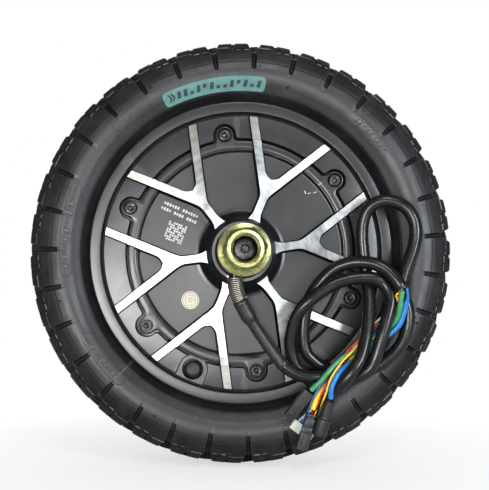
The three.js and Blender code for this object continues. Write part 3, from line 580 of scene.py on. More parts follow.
def zinc(name):
    """Yellow passivated zinc: gold with faint green and brown clouds."""
    shader = Shader(name)
    colour = shader.ramp(
        shader.noise(scale=130, roughness=0.6, distortion=1.2),
        (0.25, (0.10, 0.085, 0.035)), (0.40, (0.30, 0.27, 0.10)), (0.5, (0.42, 0.42, 0.18)),
        (0.58, (0.20, 0.25, 0.10)), (0.68, (0.40, 0.30, 0.12)), (0.8, (0.52, 0.52, 0.26)))
    specks = shader.noise(scale=900, detail=3, roughness=0.7)
    colour = shader.mix(shader.remap(specks, source=(0.45, 0.75), to=(0, 0.4)),
                        colour, (0.26, 0.24, 0.13))
    colour = shader.mix(shader.remap(shader.edges(), source=(0.52, 0.6), to=(0, 0.7)),
                        colour, (0.66, 0.66, 0.46))
    shader.set("Base Color", colour)
    shader.set("Metallic", 1.0)
    mottling = shader.noise(scale=240, detail=5, roughness=0.65)
    shader.set("Roughness", shader.remap(mottling, source=(0.3, 0.7), to=(0.22, 0.46)))
    grain = shader.noise(scale=1500, detail=3, roughness=0.6)
    shader.set("Normal", shader.bump(grain, strength=0.25, distance=0.00006))
    return shader.material


def tyre_rubber(name):
    """Moulded rubber: dark grey, a dull bloom, fine grain and pale dusty rubs."""
    shader = Shader(name)
    axes = shader.axes()
    radius = shader.distance(axes[0], axes[2])
    colour = shader.ramp(shader.noise(scale=18, detail=6, roughness=0.62),
                         (0.3, (0.0055, 0.0057, 0.0063)), (0.7, (0.0115, 0.0117, 0.0126)))
    bloom = shader.noise(scale=55, detail=6, roughness=0.7, distortion=0.6)
    colour = shader.mix(shader.remap(bloom, source=(0.45, 0.8), to=(0, 0.35)),
                        colour, (0.042, 0.042, 0.044))
    rubs = shader.ragged_edges(shader.noise(scale=260, detail=5, roughness=0.75), spread=0.10)
    colour = shader.mix(shader.remap(rubs, source=(0.53, 0.62), to=(0, 0.5)),
                        colour, (0.085, 0.085, 0.087))
    specks = shader.noise(scale=1400, detail=2, roughness=0.5)
    colour = shader.mix(shader.remap(specks, source=(0.68, 0.76), to=(0, 0.25)),
                        colour, (0.09, 0.09, 0.088))
    shader.set("Base Color", colour)
    mottling = shader.noise(scale=70, detail=5, roughness=0.6)
    shader.set("Roughness", shader.remap(mottling, source=(0.3, 0.7), to=(0.36, 0.50)))
    # The sidewall band shines more than the bead and the blocks.
    sheen = shader.times(shader.remap(radius, source=(0.0945, 0.0985), to=(0.12, 1.0)),
                         shader.remap(radius, source=(0.1110, 0.1140), to=(1.0, 0.25)))
    shader.set("Specular IOR Level", shader.times(sheen, 0.44))
    height = shader.add(shader.times(shader.noise(scale=900, roughness=0.6), 0.6),
                        shader.times(shader.noise(scale=120, roughness=0.6), 0.9))
    shader.set("Normal", shader.bump(height, strength=0.35, distance=0.0004))
    return shader.material


# -------------------------------------------------------------------- materials
TYRE = tyre_rubber("tyre_rubber")
PAINT = surface("satin_black_paint", (0.0075, 0.0078, 0.0085), rough=0.31, rough_vary=0.02,
                grain=1500, dust=0.08, dust_colour=(0.055, 0.054, 0.053), wear=0.22,
                wear_colour=grey(0.12), big=30, coat=0.12, coat_rough=0.28)
# Black paint of the spoke and arm walls, darker and duller than the cover paint: real paint with
# painted shade.
WALL_PAINT_AND_SHADE = surface("spoke_side_paint_and_shade", (0.0018, 0.0018, 0.0020), rough=0.80, vary=0.3,
                     grain=1500, bump=0.15, dust=0.06, dust_colour=grey(0.02), spec=0.08,
                     big=60)
SPOKE_FACE = machined("machined_spoke_faces", tone=0.50, tint=(0.98, 1.0, 1.01), rough=0.33,
                      blotch=0.60, bump=0.35)
LIP = machined("machined_lip", tone=0.08, rough=0.40, rings=3200, blotch=0.18, aniso=0.3)
# Machined arm ends on the rim, toned darker than the spoke faces: painted shade standing in for a
# different tilt of these faces.
ARM_FACE_SHADED = machined("machined_outer_arms_shaded", tone=0.40, tint=(1.02, 1.0, 0.94), rough=0.38,
                    blotch=0.4)
AXLE_END = machined("turned_axle_end", tone=0.055, rough=0.34, blotch=0.9, bump=0.8, aniso=0.3)
ZINC = zinc("yellow_zinc")
OXIDE = surface("black_oxide_steel", grey(0.012), rough=0.34, metal=0.3, vary=0.35, grain=1800,
                bump=0.2, depth=0.00006, wear=0.4, wear_colour=(0.14, 0.14, 0.135), big=120,
                spec=0.4)
STEEL = surface("ground_steel", (0.56, 0.565, 0.58), rough=0.24, metal=1.0, vary=0.12,
                grain=2500, bump=0.12, depth=0.00004, rough_vary=0.08, big=80)
SEAL = surface("seal_rubber", (0.018, 0.018, 0.019), rough=0.55, vary=0.3, grain=1500, bump=0.2,
               dust=0.2, dust_colour=grey(0.10), big=60)
JACKET = surface("cable_jacket", (0.0042, 0.0044, 0.0052), rough=0.27, vary=0.3, grain=420,
                 bump=0.12, depth=0.00015, dust=0.04, dust_colour=grey(0.04), rough_vary=0.03,
                 spec=0.32, big=45)
SLEEVE = surface("shrink_sleeve", (0.0090, 0.0090, 0.0096), rough=0.42, vary=0.3, grain=700,
                 bump=0.3, depth=0.0002, dust=0.10, dust_colour=grey(0.07), big=90, spec=0.4)
# The cover's black paint on the boss's sloping side, made darker and duller: real paint with
# painted shade.
CONE_PAINT_AND_SHADE = surface("boss_side_paint_and_shade", (0.0050, 0.0052, 0.0058), rough=0.50, vary=0.3,
                     grain=1500, bump=0.12, dust=0.12, dust_colour=grey(0.03), spec=0.16,
                     big=60)
# Paler rubber: a painted highlight for the lit edges of the tyre's stepped ledges.
LEDGE_HIGHLIGHT = surface("ledge_highlight_rubber", (0.085, 0.085, 0.087), rough=0.55, vary=0.5, bump=0.4,
                  depth=0.0003, big=150, spec=0.3)
SPRING = surface("plated_spring_wire", (0.34, 0.31, 0.26), rough=0.36, metal=1.0, vary=0.15,
                 grain=2500, bump=0.08, depth=0.00004, rough_vary=0.06, big=260)
BLUE = surface("wire_blue", (0.006, 0.13, 0.37), rough=0.32, vary=0.15, dust=0.08,
               dust_colour=(0.2, 0.3, 0.4), big=120)
GREEN = surface("wire_green", (0.030, 0.19, 0.07), rough=0.34, vary=0.18, dust=0.08,
                dust_colour=(0.2, 0.35, 0.25), big=120)
YELLOW = surface("wire_yellow", (0.78, 0.42, 0.006), rough=0.34, vary=0.10, dust=0.06,
                 dust_colour=(0.6, 0.4, 0.15), big=120)
RED = surface("wire_red", (0.42, 0.018, 0.014), rough=0.30, vary=0.2, dust=0.1,
              dust_colour=(0.4, 0.25, 0.22), big=120, coat=0.2)
WHITE = surface("white_plastic", (0.42, 0.42, 0.39), rough=0.45, vary=0.08, dust=0.25,
                dust_colour=(0.25, 0.24, 0.21), big=140)
HOUSING = surface("plug_housing", (0.0060, 0.0062, 0.0068), rough=0.40, vary=0.3, grain=1200,
                  bump=0.2, dust=0.10, dust_colour=grey(0.05), wear=0.25,
                  wear_colour=grey(0.07), big=90, spec=0.4)
BOOT = surface("rubber_boot", (0.0075, 0.0077, 0.0084), rough=0.50, vary=0.3, grain=1000,
               bump=0.25, depth=0.00015, dust=0.10, dust_colour=grey(0.06), big=80, spec=0.4)
CASTING = surface("bare_casting", (0.46, 0.47, 0.48), rough=0.5, metal=0.9, vary=0.2, bump=0.4,
                  depth=0.0003, big=60)
COPPER = surface("enamelled_copper", (0.55, 0.22, 0.09), rough=0.3, metal=0.9, grain=2200,
                 bump=0.5, depth=0.0003, big=200)
LAMINATE = surface("steel_laminations", (0.30, 0.30, 0.31), rough=0.5, metal=0.8, grain=1600,
                   bump=0.3, big=100)
MAGNET = surface("nickel_magnets", (0.60, 0.60, 0.61), rough=0.3, metal=1.0, vary=0.15,
                 grain=1500, bump=0.15, depth=0.00005, big=90)
BOARD = surface("board_green", (0.015, 0.12, 0.045), rough=0.35, grain=1500, bump=0.2, big=150)
CAGE = surface("brass_cage", (0.52, 0.40, 0.18), rough=0.35, metal=1.0, grain=1500, bump=0.2,
               depth=0.00005, big=150)
LABEL = surface("cream_label", (0.50, 0.47, 0.37), rough=0.6, vary=0.08, bump=0.15, dust=0.2,
                dust_colour=(0.30, 0.28, 0.20), big=160, spec=0.2)
TEAL = surface("teal_print", (0.07, 0.165, 0.15), rough=0.55, vary=0.15, bump=0.15, dust=0.25,
               dust_colour=(0.06, 0.09, 0.09), big=120, spec=0.25)
DARK_TEAL = surface("dark_teal_print", (0.018, 0.033, 0.036), rough=0.55, vary=0.15, bump=0.15,
                    dust=0.2, dust_colour=(0.04, 0.05, 0.05), big=120, spec=0.25)
WHITE_INK = surface("white_print", (0.46, 0.46, 0.45), rough=0.5, vary=0.12, dust=0.4,
                    dust_colour=grey(0.12), big=200)
GREY_INK = surface("grey_print", (0.10, 0.10, 0.09), rough=0.5, vary=0.3, dust=0.3,
                   dust_colour=(0.2, 0.19, 0.16), big=200, spec=0.2)
SHADE = surface("socket_shade", grey(0.004), rough=0.75, vary=0.3, grain=1500, bump=0.2,
                spec=0.2, big=120)


# ------------------------------------------------------------------- tyre body
LUGS = 31
LUG_PITCH = 360 / LUGS
FIRST_GROOVE = 3.8  # degrees
# Half sections as (radius, height), from the bead out to the crown.
BEAD = [
    (82.9, 22.4), (88.6, 22.4), (91.0, 23.0), (92.6, 25.2), (94.2, 28.6), (95.4, 30.3),
    (96.6, 30.9), (97.6, 31.4), (100.5, 33.3), (104.0, 34.6)]
LAND_SECTION = BEAD + [
    (107.5, 34.9), (110.5, 34.4), (111.6, 34.1), (112.2, 33.5), (114.5, 32.9), (118.0, 31.7),
    (120.2, 30.5), (122.6, 28.6), (124.6, 26.2), (125.7, 23.0), (126.6, 18.5), (127.2, 13.0),
    (127.45, 7.0), (127.5, 0.0)]
GROOVE_SECTION = BEAD + [
    (107.5, 34.7), (108.9, 33.2), (110.0, 31.6), (111.6, 30.3), (113.9, 29.0), (116.2, 27.9),
    (117.9, 26.8), (119.0, 25.8), (120.0, 24.4), (120.9, 22.2), (121.7, 18.2), (122.3, 13.0),
    (122.6, 7.0), (122.7, 0.0)]
SECTION_STEPS = [1, 2, 2, 2, 2, 2, 2, 2, 2, 2, 2, 3, 2, 3, 4, 3, 4, 4, 5, 5, 6, 6, 7]
# Inside of the carcass, from the middle out to the bead.
INNER_SECTION = [
    (117.8, 0.0), (117.0, 9.0), (113.5, 18.0), (108.0, 24.2), (103.0, 24.2), (97.0, 20.5),
    (90.0, 16.8), (84.5, 14.6), (82.9, 14.4)]
INNER_STEPS = [3, 3, 3, 2, 2, 2, 2, 1]
# Fractions of a lug pitch where the tyre is sampled beside each groove.
NEAR_GROOVE = [0, 0.028, 0.042, 0.056, 0.070, 0.088, 0.110, 0.135]


def dense(points, counts):
    """Splits each stretch of an outline into its count of equal steps."""
    out = []
    for start, end, count in zip(points, points[1:], counts):
        start, end = np.array(start), np.array(end)
        out += [start + (end - start) * i / count for i in range(count)]
    return np.array(out + [np.array(points[-1])])


def tread_mask(phase, height, radius):
    """1 on the blocks and 0 in the grooves; phase runs 0..1 over one lug pitch."""
    reach = np.abs(height)
    groove = (0.046 + 0.012 * np.clip((radius - 108) / 10, 0, 1)
              + 0.060 * smooth01((radius - 118.5) / 7.5))
    soft = 0.017 + 0.022 * smooth01((radius - 119) / 6)
    shoulder = smooth01((np.minimum(phase, 1 - phase) - groove + soft) / (2 * soft))
    # A shallow narrow cut in the middle of every shoulder block.
    sipe = 1 - 0.55 * np.exp(-((phase - 0.5) / 0.022) ** 2) * (reach < 27) * (reach > 17.5)
    lateral = 13.2 + 2.6 * np.sin(TAU * (phase + 0.12))
    side = shoulder * sipe * smooth01((reach - lateral + 0.2) / 0.7)
    # Centre blocks: chevrons, half a pitch out of step with the shoulders.
    chevron = (phase + 0.5 + 0.020 * height) % 1.0
    centre = smooth01((np.minimum(chevron, 1 - chevron) - 0.11 + 0.028) / 0.056)
    inner = smooth01((lateral - 2.6 - reach) / 0.7)
    split = smooth01((np.abs(height + 2.4 * np.sin(TAU * phase)) - 1.1) / 0.6)
    middle = centre * inner * (0.30 + 0.70 * split)
    return np.where(reach > 9.5, np.maximum(side, middle), middle)


def tyre_body():
    halves = [dense(section, SECTION_STEPS) for section in (LAND_SECTION, GROOVE_SECTION)]
    land, groove = (np.vstack([half, half[-2::-1] * [1, -1]]) for half in halves)
    side = np.where(np.arange(len(land)) < len(halves[0]), 1, -1)
    stations = np.array([-value for value in NEAR_GROOVE[:0:-1]] + NEAR_GROOVE
                        + list(np.linspace(0.165, 0.835, 15)))
    degrees = np.concatenate([(i + stations) * LUG_PITCH for i in range(LUGS)]) + FIRST_GROOVE
    phase = np.tile(stations % 1.0, LUGS)[:, None]
    mask = tread_mask(phase, land[:, 1][None, :], land[:, 0][None, :])
    radius = groove[:, 0] + (land[:, 0] - groove[:, 0]) * mask
    height = groove[:, 1] + (land[:, 1] - groove[:, 1]) * mask
    # A ledge with a stepped outline runs along the outer part of every lug.
    step = (0.9 * (1 - 2 * smooth01((phase - 0.42) / 0.10))
            * (np.minimum(phase, 1 - phase) > 0.02))
    ledge = (smooth01((land[:, 0] - (120.6 + step) + 0.25) / 0.5)
             * smooth01((126.4 - land[:, 0]) / 2.5) * mask)
    height = height - side * 1.15 * ledge
    radius = radius - 0.25 * ledge
    # A light wave in the lug faces.
    angle = np.radians(degrees)[:, None]
    wave = 0.10 * np.sin(13 * angle + 0.7) + 0.07 * np.sin(29 * angle + 2.0)
    height = height + (np.sign(height) * wave * smooth01((land[:, 0] - 107) / 5)
                       * smooth01((124 - land[:, 0]) / 4) * (np.abs(height) > 20))
    inner = dense(INNER_SECTION, INNER_STEPS)
    inner = np.vstack([inner[::-1] * [1, -1], inner[1:]])
    count = len(degrees)
    radius = np.hstack([radius, np.repeat(inner[None, :, 0], count, 0)])
    height = np.hstack([height, np.repeat(inner[None, :, 1], count, 0)])
    part = Part("tyre_body")
    part.add(np.stack([radius * np.sin(angle), radius * np.cos(angle), height], -1),
             band_faces(count, radius.shape[1]))
    part.finish("wheel", "tyre", [TYRE], ["tyre"], angle=28)


# --------------------------------------------------------------- sidewall marks
SIDEWALL = dense(LAND_SECTION, [3] * (len(LAND_SECTION) - 1))
SIDEWALL = SIDEWALL[SIDEWALL[:, 1] > 12]
# Spans in degrees of the groups of slanted bars on each side.
BAR_GROUPS = ((1, [(262, 293), (150, 171), (222, 243), (38, 58), (314, 327)]),
              (-1, [(20, 52), (140, 172), (260, 292)]))
BAR_FRAME = (100.2, 106.6)  # inner and outer radius
DASH_STARTS = ((1, (84, 190, 300)), (-1, (84, 190, 300, 340)))
# Painted highlight runs along the ledge edge of each block: start and end in lug pitches, radius.
LEDGE_HIGHLIGHT_RUNS = ((0.10, 0.40, 121.0), (0.44, 0.50, 120.2), (0.54, 0.70, 119.4), (0.74, 0.88, 119.5))
NUBS = ((74.0, 113.3), (112.1, 110.6), (15.7, 100.4), (331.0, 110.2), (208.0, 108.6),
        (255.0, 110.5))  # degrees, radius


def side_height(radius):
    return np.interp(radius, SIDEWALL[:, 0], SIDEWALL[:, 1])


def side_patch(part, start, wide, low, high, lift, lean=0.0, soft=0.25, side=1):
    """Raised bar on the sidewall: start, wide and lean in degrees, low and high radii."""
    loop = np.array([(start, low), (start + wide, low), (start + wide + lean, high),
                     (start + lean, high)])
    middle = loop.mean(0)
    flat = np.c_[np.radians(loop[:, 0] - middle[0]) * middle[1], loop[:, 1]]
    normals = loop_normals(flat)

    def ring(grow, rise):
        across, radius = (flat + normals * grow).T
        angle = across / middle[1] + math.radians(middle[0])
        return np.c_[radius * np.sin(angle), radius * np.cos(angle),
                     side * (side_height(radius) + rise)]
    loft(part, [ring(0.15, -0.6), ring(0, lift - soft * 0.6), ring(-soft, lift)])


def side_wire(part, loop, radius, lift, side):
    """Thin raised line on the sidewall, through a closed loop of (degrees, radius)."""
    points = [(*polar(*point), side * (side_height(point[1]) + lift)) for point in loop]
    tube(part, np.array(points + points[:1]), radius, 6, round_ends=False)


def capsule_loop(start, end, low, high):
    """Loop of (degrees, radius) round a bar with half-round ends."""
    middle, half = (low + high) / 2, (high - low) / 2
    cap = math.degrees(half / middle)
    left, right = start + cap, end - cap
    count = max(2, int(abs(end - start)))
    points = []
    for here, there, turn, rail in ((right, left, 0, low), (left, right, math.pi, high)):
        for i in range(9):
            angle = turn + math.pi * i / 8
            points.append((here + cap * math.sin(angle), middle + half * math.cos(angle)))
        points += [(here + (there - here) * i / count, rail) for i in range(1, count)]
    return points


def tyre_marks():
    part = Part("tyre_marks")
    for side, line_radius in ((1, 94.6), (-1, 97.9)):
        for radius, thick, lift in ((95.3, 0.20, 0.0), (line_radius, 0.13, 0.02)):
            loop = [(degrees, radius) for degrees in np.arange(0, 360, 1.5)]
            side_wire(part, loop, thick, lift, side)
    for side, groups in BAR_GROUPS:
        for i, (start, end) in enumerate(groups):
            if i % 2 == 0:
                side_wire(part, capsule_loop(start, end, *BAR_FRAME), 0.26, 0.02, side)
            pitch = (end - start - 5) / 9.0
            for k in range(9):
                low, high = (101.6, 105.2) if k % 3 != 2 else (102.9, 103.9)
                side_patch(part, start + 2.5 + k * pitch, pitch * 0.52, low, high, 0.32,
                           lean=0.5, side=side)
    for side, starts in DASH_STARTS:
        for start in starts:
            for k in range(12):
                high = 100.9 if k % 4 else 101.4
                side_patch(part, start + k * 1.25, 0.7, 99.7, high, 0.18, side=side)
        # Three short ribs across the foot of every lug.
        for i in range(LUGS):
            for k in range(3):
                start = FIRST_GROOVE + (i + 0.5) * LUG_PITCH - 0.9 + k * 0.7
                side_patch(part, start, 0.35, 118.9, 119.3, 0.22, side=side)
    part.finish("wheel", "tyre", [TYRE], angle=40)


def ledge_highlights():
    """Painted highlight along the edge of the stepped ledge on every block, in short uneven runs.
    """
    part = Part("tyre_ledge_chips")
    for side in (1, -1):
        for i in range(LUGS):
            for first, last, radius in LEDGE_HIGHLIGHT_RUNS:
                wide = 0.5 + 0.25 * math.sin(i * 2.3 + first * 9)
                start = first + 0.03 * math.sin(i * 1.7)
                end = last - 0.05 * abs(math.sin(i * 3.1 + first * 5))
                side_patch(part, FIRST_GROOVE + (i + start) * LUG_PITCH,
                           (end - start) * LUG_PITCH, radius, radius + wide, 0.34, side=side)
    part.finish("wheel", "tyre", [LEDGE_HIGHLIGHT], angle=40)


def vent_nubs():
    """Moulding nubs on the front wall."""
    part = Part("tyre_vent_nubs")
    for degrees, radius in NUBS:
        height = float(side_height(radius))
        lathe(part, [(0.02, height - 0.9), (0.85, height - 0.9), (0.75, height + 0.35),
                     (0.5, height + 0.55), (0.02, height + 0.6)], 14,
              centre=polar(degrees, radius))
    part.finish("wheel", "tyre", [SHADE], angle=40)


def vent_hairs():
    """Short moulding hairs, slightly bent, at two radii."""
    part = Part("tyre_vent_hairs")
    for side in (1, -1):
        for i in range(2 * LUGS):
            if i % 2 == 0 and (i // 2) % 3:
                continue
            degrees = FIRST_GROOVE + (i + 0.37) * LUG_PITCH / 2
            radius = 121.4 if i % 2 else 109.2
            length = 1.1 + 1.5 * random.random()
            x, z = polar(degrees, radius)
            tip_x, tip_z = polar(degrees + random.uniform(-0.9, 0.9),
                                 radius + random.uniform(-0.3, 1.0))
            height = float(side_height(radius))
            curve, _ = spline([
                (x, z, side * (height - 0.6)),
                ((x + tip_x) / 2, (z + tip_z) / 2, side * (height + length * 0.55)),
                (tip_x, tip_z, side * (height + length))], 0.5)
            tube(part, curve, np.linspace(0.28, 0.14, len(curve)), 6, round_ends=False)
    part.finish("wheel", "tyre", [TYRE], angle=60)


def colour_band():
    """Thin printed band with rounded ends, on the upper front sidewall."""
    start, end = -27.2, 8.2
    low, high = 95.5, 103.3
    corner, step, rows = 2.2, 0.6, 12
    total = math.radians(end - start) * (low + high) / 2
    columns = int(total / step)
    points = []
    for lift in (0.05, -0.35):
        for i in range(columns + 1):
            along = total * i / columns
            inside = corner - min(along, total - along, corner)
            cut = corner - math.sqrt(max(0, corner ** 2 - inside ** 2))
            for k in range(rows + 1):
                radius = (low + cut) + (high - low - 2 * cut) * k / rows
                x, z = polar(start + (end - start) * i / columns, radius)
                points.append((x, z, side_height(radius) + lift))
    count = rows + 1
    under = (columns + 1) * count
    faces = []
    for i in range(columns):
        here, ahead = i * count, (i + 1) * count
        for k in range(rows):
            faces.append((here + k, here + k + 1, ahead + k + 1, ahead + k))
            faces.append((under + here + k, under + ahead + k,
                          under + ahead + k + 1, under + here + k + 1))
        for k in (0, rows):
            faces.append((here + k, ahead + k, under + ahead + k, under + here + k))
    for i in (0, columns):
        for k in range(i * count, i * count + rows):
            faces.append((k, k + 1, under + k + 1, under + k))
    part = Part("tyre_colour_band")
    part.add(points, faces)
    part.finish("wheel", "tyre", [TEAL], angle=50)


def slanted_bar(part, start, wide, low, high, lean):
    """Slanted bar on the band, split where the sidewall bends."""
    bends = [radius for radius in (97.6, 100.5) if low + 0.1 < radius < high - 0.1]
    cuts = [low] + bends + [high]
    for inner, outer in zip(cuts, cuts[1:]):
        side_patch(part, start + lean * (inner - low) / (high - low), wide, inner, outer, 0.13,
                   lean=lean * (outer - inner) / (high - low), soft=0.03)


def band_bars():
    part = Part("tyre_band_bars")
    # Radii of full, inner and outer bars, then the kind of each bar.
    spans = ((97.6, 101.2), (97.6, 99.2), (99.2, 101.2))
    for k, kind in enumerate((0, 0, 1, 0, 2, 0, 1, 1, 0, 2, 0, 1, 0)):
        low, high = spans[kind]
        slanted_bar(part, -22.4 + k * 2.30, 1.25, low, high, 0.40 * (high - low) / 3.6)
    for k in range(2):
        slanted_bar(part, -25.6 + k * 1.1, 0.7, 97.2, 99.4, 0.8)
        slanted_bar(part, -24.8 + k * 1.1, 0.7, 99.4, 101.6, -0.8)
    part.finish("wheel", "tyre", [DARK_TEAL], angle=50)


# ------------------------------------------------------------------------- rim
# Closed section as (radius, height[, material[, rounding]]).
RIM_SECTION = [
    (67.8, -20.6), (67.8, 24.5, 0, 0.35), (81.6, 24.5, 1, 0.2), (81.9, 23.7, 1, 0.1),
    (83.0, 23.7, 1, 0.1), (83.3, 25.4, 0, 0.1), (83.8, 27.0, 0, 0.5), (89.6, 27.0, 0, 0.9),
    (91.0, 25.4, 0, 0.6), (91.0, 23.0, 0, 0.3), (82.5, 23.0, 0, 0.8), (82.5, 13.0, 0, 1.5),
    (76.0, 7.0, 0, 2.0), (76.0, -7.0, 0, 2.0), (82.5, -13.0, 0, 1.5), (82.5, -23.0, 0, 0.8),
    (91.0, -23.0, 0, 0.3), (91.0, -25.4, 0, 0.6), (89.6, -27.0, 0, 0.9), (83.4, -27.0, 0, 0.5),
    (81.3, -24.9, 0, 0.4), (76.0, -24.9, 0, 0.3), (76.0, -20.6)]


def ring_outline(radius, ear, neck):
    """Plan circle that swells round each screw: ear is that radius, neck the hollow's."""
    span = math.degrees(math.asin((ear + neck) / radius))
    start = math.sqrt(radius ** 2 - (ear + neck) ** 2)
    hollow = [(ear + neck - neck * math.sin(angle), start + neck - neck * math.cos(angle))
              for angle in np.linspace(0, math.pi / 2, 7)]
    cap = [(ear * math.cos(angle), SCREW_CIRCLE + ear * math.sin(angle))
           for angle in np.linspace(0, math.pi, 19)]
    swell = hollow + cap + [(-x, y) for x, y in reversed(hollow)]
    points = []
    for degrees in SCREW_DEGREES:
        points += [tuple(point) for point in turned(swell[::-1], degrees)]
        between = np.linspace(degrees + span, degrees + SCREW_STEP - span, 20)[1:-1]
        points += [polar(angle, radius) for angle in between]
    return np.array(points)


def valve_slot(radius):
    """Plan outline of the slot for the valve: half round inside, square outside."""
    points = []
    for k in range(21):
        angle = math.pi + math.pi * k / 20
        points.append((radius * math.cos(angle), 75 + radius * math.sin(angle)))
    return points + [(radius, 82.4), (-radius, 82.4)]


def rim():
    part = Part("rim_body")
    lathe(part, fillet(RIM_SECTION, 0.4), 200)
    obj = part.finish("wheel", "painted", [PAINT, SHADE], ["rim"])

    cut = Part("pockets")
    low, high = ring_outline(68.35, 6.35, 2.2), ring_outline(68.95, 6.95, 1.8)
    loft(cut, [at_height(low, 16.7), at_height(low, 23.6), at_height((low + high) / 2, 24.25),
               at_height(high, 24.56), at_height(high, 31)])
    carve(obj, cut)

    cut = Part("valve_opening")
    loft(cut, [turned(at_height(valve_slot(radius), height), VALVE_DEGREES)
               for radius, height in ((8.5, 20.3), (8.5, 23.9), (9.1, 24.6), (9.1, 32))])
    carve(obj, cut)

    cut = Part("valve_pocket")
    lathe(cut, [(0.01, 11.5), (5.9, 11.5), (5.9, 19.8), (6.5, 20.4), (6.5, 22), (0.01, 22)],
          40, centre=polar(VALVE_DEGREES, 75.4))
    carve(obj, cut)


# ------------------------------------------------------- spokes and their arms
# Drawn for a spoke pointing up, right half only. The stem forks into two arms.
ARM_DIRECTION = np.array([0.5, math.sqrt(0.75)])
OUTER_FORK = np.array([3.9, 37.9])
INNER_FORK = np.array([4.33, 50.1])
ARM_START = 10.78  # distance along the outer edge, opposite the inner fork
COVER_JOINT = 67.72  # radius where the cover's arms end
RIM_JOINT = 67.82  # radius where the rim's arms begin
RIM_ARM_END = 81.9
# (distance from the axis, half width)
STEM = [(19.4, 4.6), (20.4, 4.3), (21.5, 3.85), (22.6, 3.45), (24, 3.1), (25.5, 2.9),
        (27, 2.8), (30.5, 2.8), (33.8, 2.8), (34.9, 2.92), (35.9, 3.15), (36.9, 3.5),
        (37.9, 4.0)]
# (inner edge x, inner edge z, distance along the outer edge from its fork)
FORK = [(0, 40.3, 1.6), (0, 42.7, 3.2), (0, 45.2, 4.8), (0, 47.2, 6.45), (1.3, 47.7, 7.4),
        (2.6, 48.4, 8.4), (3.6, 49.2, 9.6), (*INNER_FORK, ARM_START)]
LAND_INSET, LAND_CHAMFER, LAND_DRAFT = 0.6, 0.12, 0.75


def spoke_top(x, z):
    """Height of the sloping spoke faces."""
    return 31 - (math.hypot(x, z) - 20.5) * 3 / 45.5


def to_circle(point, radius):
    """Distance from a point along the arm to a circle about the wheel axis."""
    along = point @ ARM_DIRECTION
    return -along + math.sqrt(along * along - point @ point + radius * radius)


def arm_cells(start, end, rows, columns=4):
    """Quads of one arm between two radii; a start of 0 means the fork."""
    grid = []
    for i in range(columns + 1):
        base = INNER_FORK + (OUTER_FORK + ARM_DIRECTION * ARM_START - INNER_FORK) * i / columns
        first = to_circle(base, start) if start else 0.0
        last = to_circle(base, end)
        grid.append([base + ARM_DIRECTION * (first + (last - first) * k / rows)
                     for k in range(rows + 1)])
    return [[tuple(grid[i][k]), tuple(grid[i + 1][k]), tuple(grid[i + 1][k + 1]),
             tuple(grid[i][k + 1])] for i in range(columns) for k in range(rows)]


def stem_cells(columns=4):
    """Quads of the right half of the stem, up to the arm."""
    rows = [(np.array([0, z]), np.array([x, z])) for z, x in STEM]
    rows += [(np.array([x, z]), OUTER_FORK + ARM_DIRECTION * along) for x, z, along in FORK]
    out = []
    for (left, right), (next_left, next_right) in zip(rows, rows[1:]):
        for k in range(columns):
            near, far = k / columns, (k + 1) / columns
            out.append([tuple(left + (right - left) * near),
                        tuple(left + (right - left) * far),
                        tuple(next_left + (next_right - next_left) * far),
                        tuple(next_left + (next_right - next_left) * near)])
    return out


def mirror(cells):
    return [[(-x, z) for x, z in cell] for cell in cells]


def relief(part, quads, floor, degrees, joint):
    """Raised land: plan quads become its top face, with sloping walls down to floor.

    The top is drawn in from its outline, except across the joint radius.
    Materials are 0 for the top and its chamfer, 1 for the walls and underside.
    """
    keys, plan, faces = {}, [], []

    def index(point):
        key = (round(float(point[0]), 3), round(float(point[1]), 3))
        if key not in keys:
            keys[key] = len(plan)
            plan.append((float(point[0]), float(point[1])))
        return keys[key]
    for quad in quads:
        area = sum(here[0] * ahead[1] - ahead[0] * here[1]
                   for here, ahead in zip(quad, quad[1:] + quad[:1]))
        if area < 0:
            quad = quad[::-1]
        face = tuple(dict.fromkeys(index(point) for point in quad))
        if len(face) > 2:
            faces.append(face)
    edges = set()
    for face in faces:
        edges.update(zip(face, face[1:] + face[:1]))
    follows = {start: end for start, end in edges if (end, start) not in edges}
    points = [(x, z, spoke_top(x, z)) for x, z in plan]
    mats = [0] * len(faces)
    seen = set()
    for start in list(follows):
        if start in seen:
            continue
        loop, here = [], start
        while here not in seen:
            seen.add(here)
            loop.append(here)
            here = follows[here]
        outline = np.array([plan[i] for i in loop])
        normals = loop_normals(outline)
        for k, point in enumerate(outline):
            radius = math.hypot(*point)
            if abs(radius - joint) < 0.03:
                outward = point / radius
                normals[k] -= outward * (normals[k] @ outward)
        for i, (x, z) in zip(loop, outline - normals * LAND_INSET):
            points[i] = (x, z, spoke_top(x, z))
        count, chamfer = len(loop), len(points)
        points += [(x, z, spoke_top(x, z) - LAND_CHAMFER)
                   for x, z in outline - normals * (LAND_INSET - LAND_CHAMFER)]
        foot = len(points)
        points += [(x, z, floor) for x, z in outline + normals * LAND_DRAFT]
        for i in range(count):
            j = (i + 1) % count
            faces.append((loop[i], chamfer + i, chamfer + j, loop[j]))
            faces.append((chamfer + i, foot + i, foot + j, chamfer + j))
            mats += [0, 1]
        faces.append(tuple(foot + i for i in range(count - 1, -1, -1)))
        mats.append(1)
    part.add(turned(points, degrees), faces, mats)


def rim_arm_ends():
    """Outer ends of the arms, raised on the rim."""
    part = Part("rim_arm_ends")
    cells = arm_cells(RIM_JOINT, RIM_ARM_END, rows=8)
    for degrees in SPOKE_DEGREES:
        for half in (cells, mirror(cells)):
            relief(part, half, 21.5, degrees, RIM_JOINT)
    part.finish("wheel", "painted", [ARM_FACE_SHADED, WALL_PAINT_AND_SHADE], angle=24)


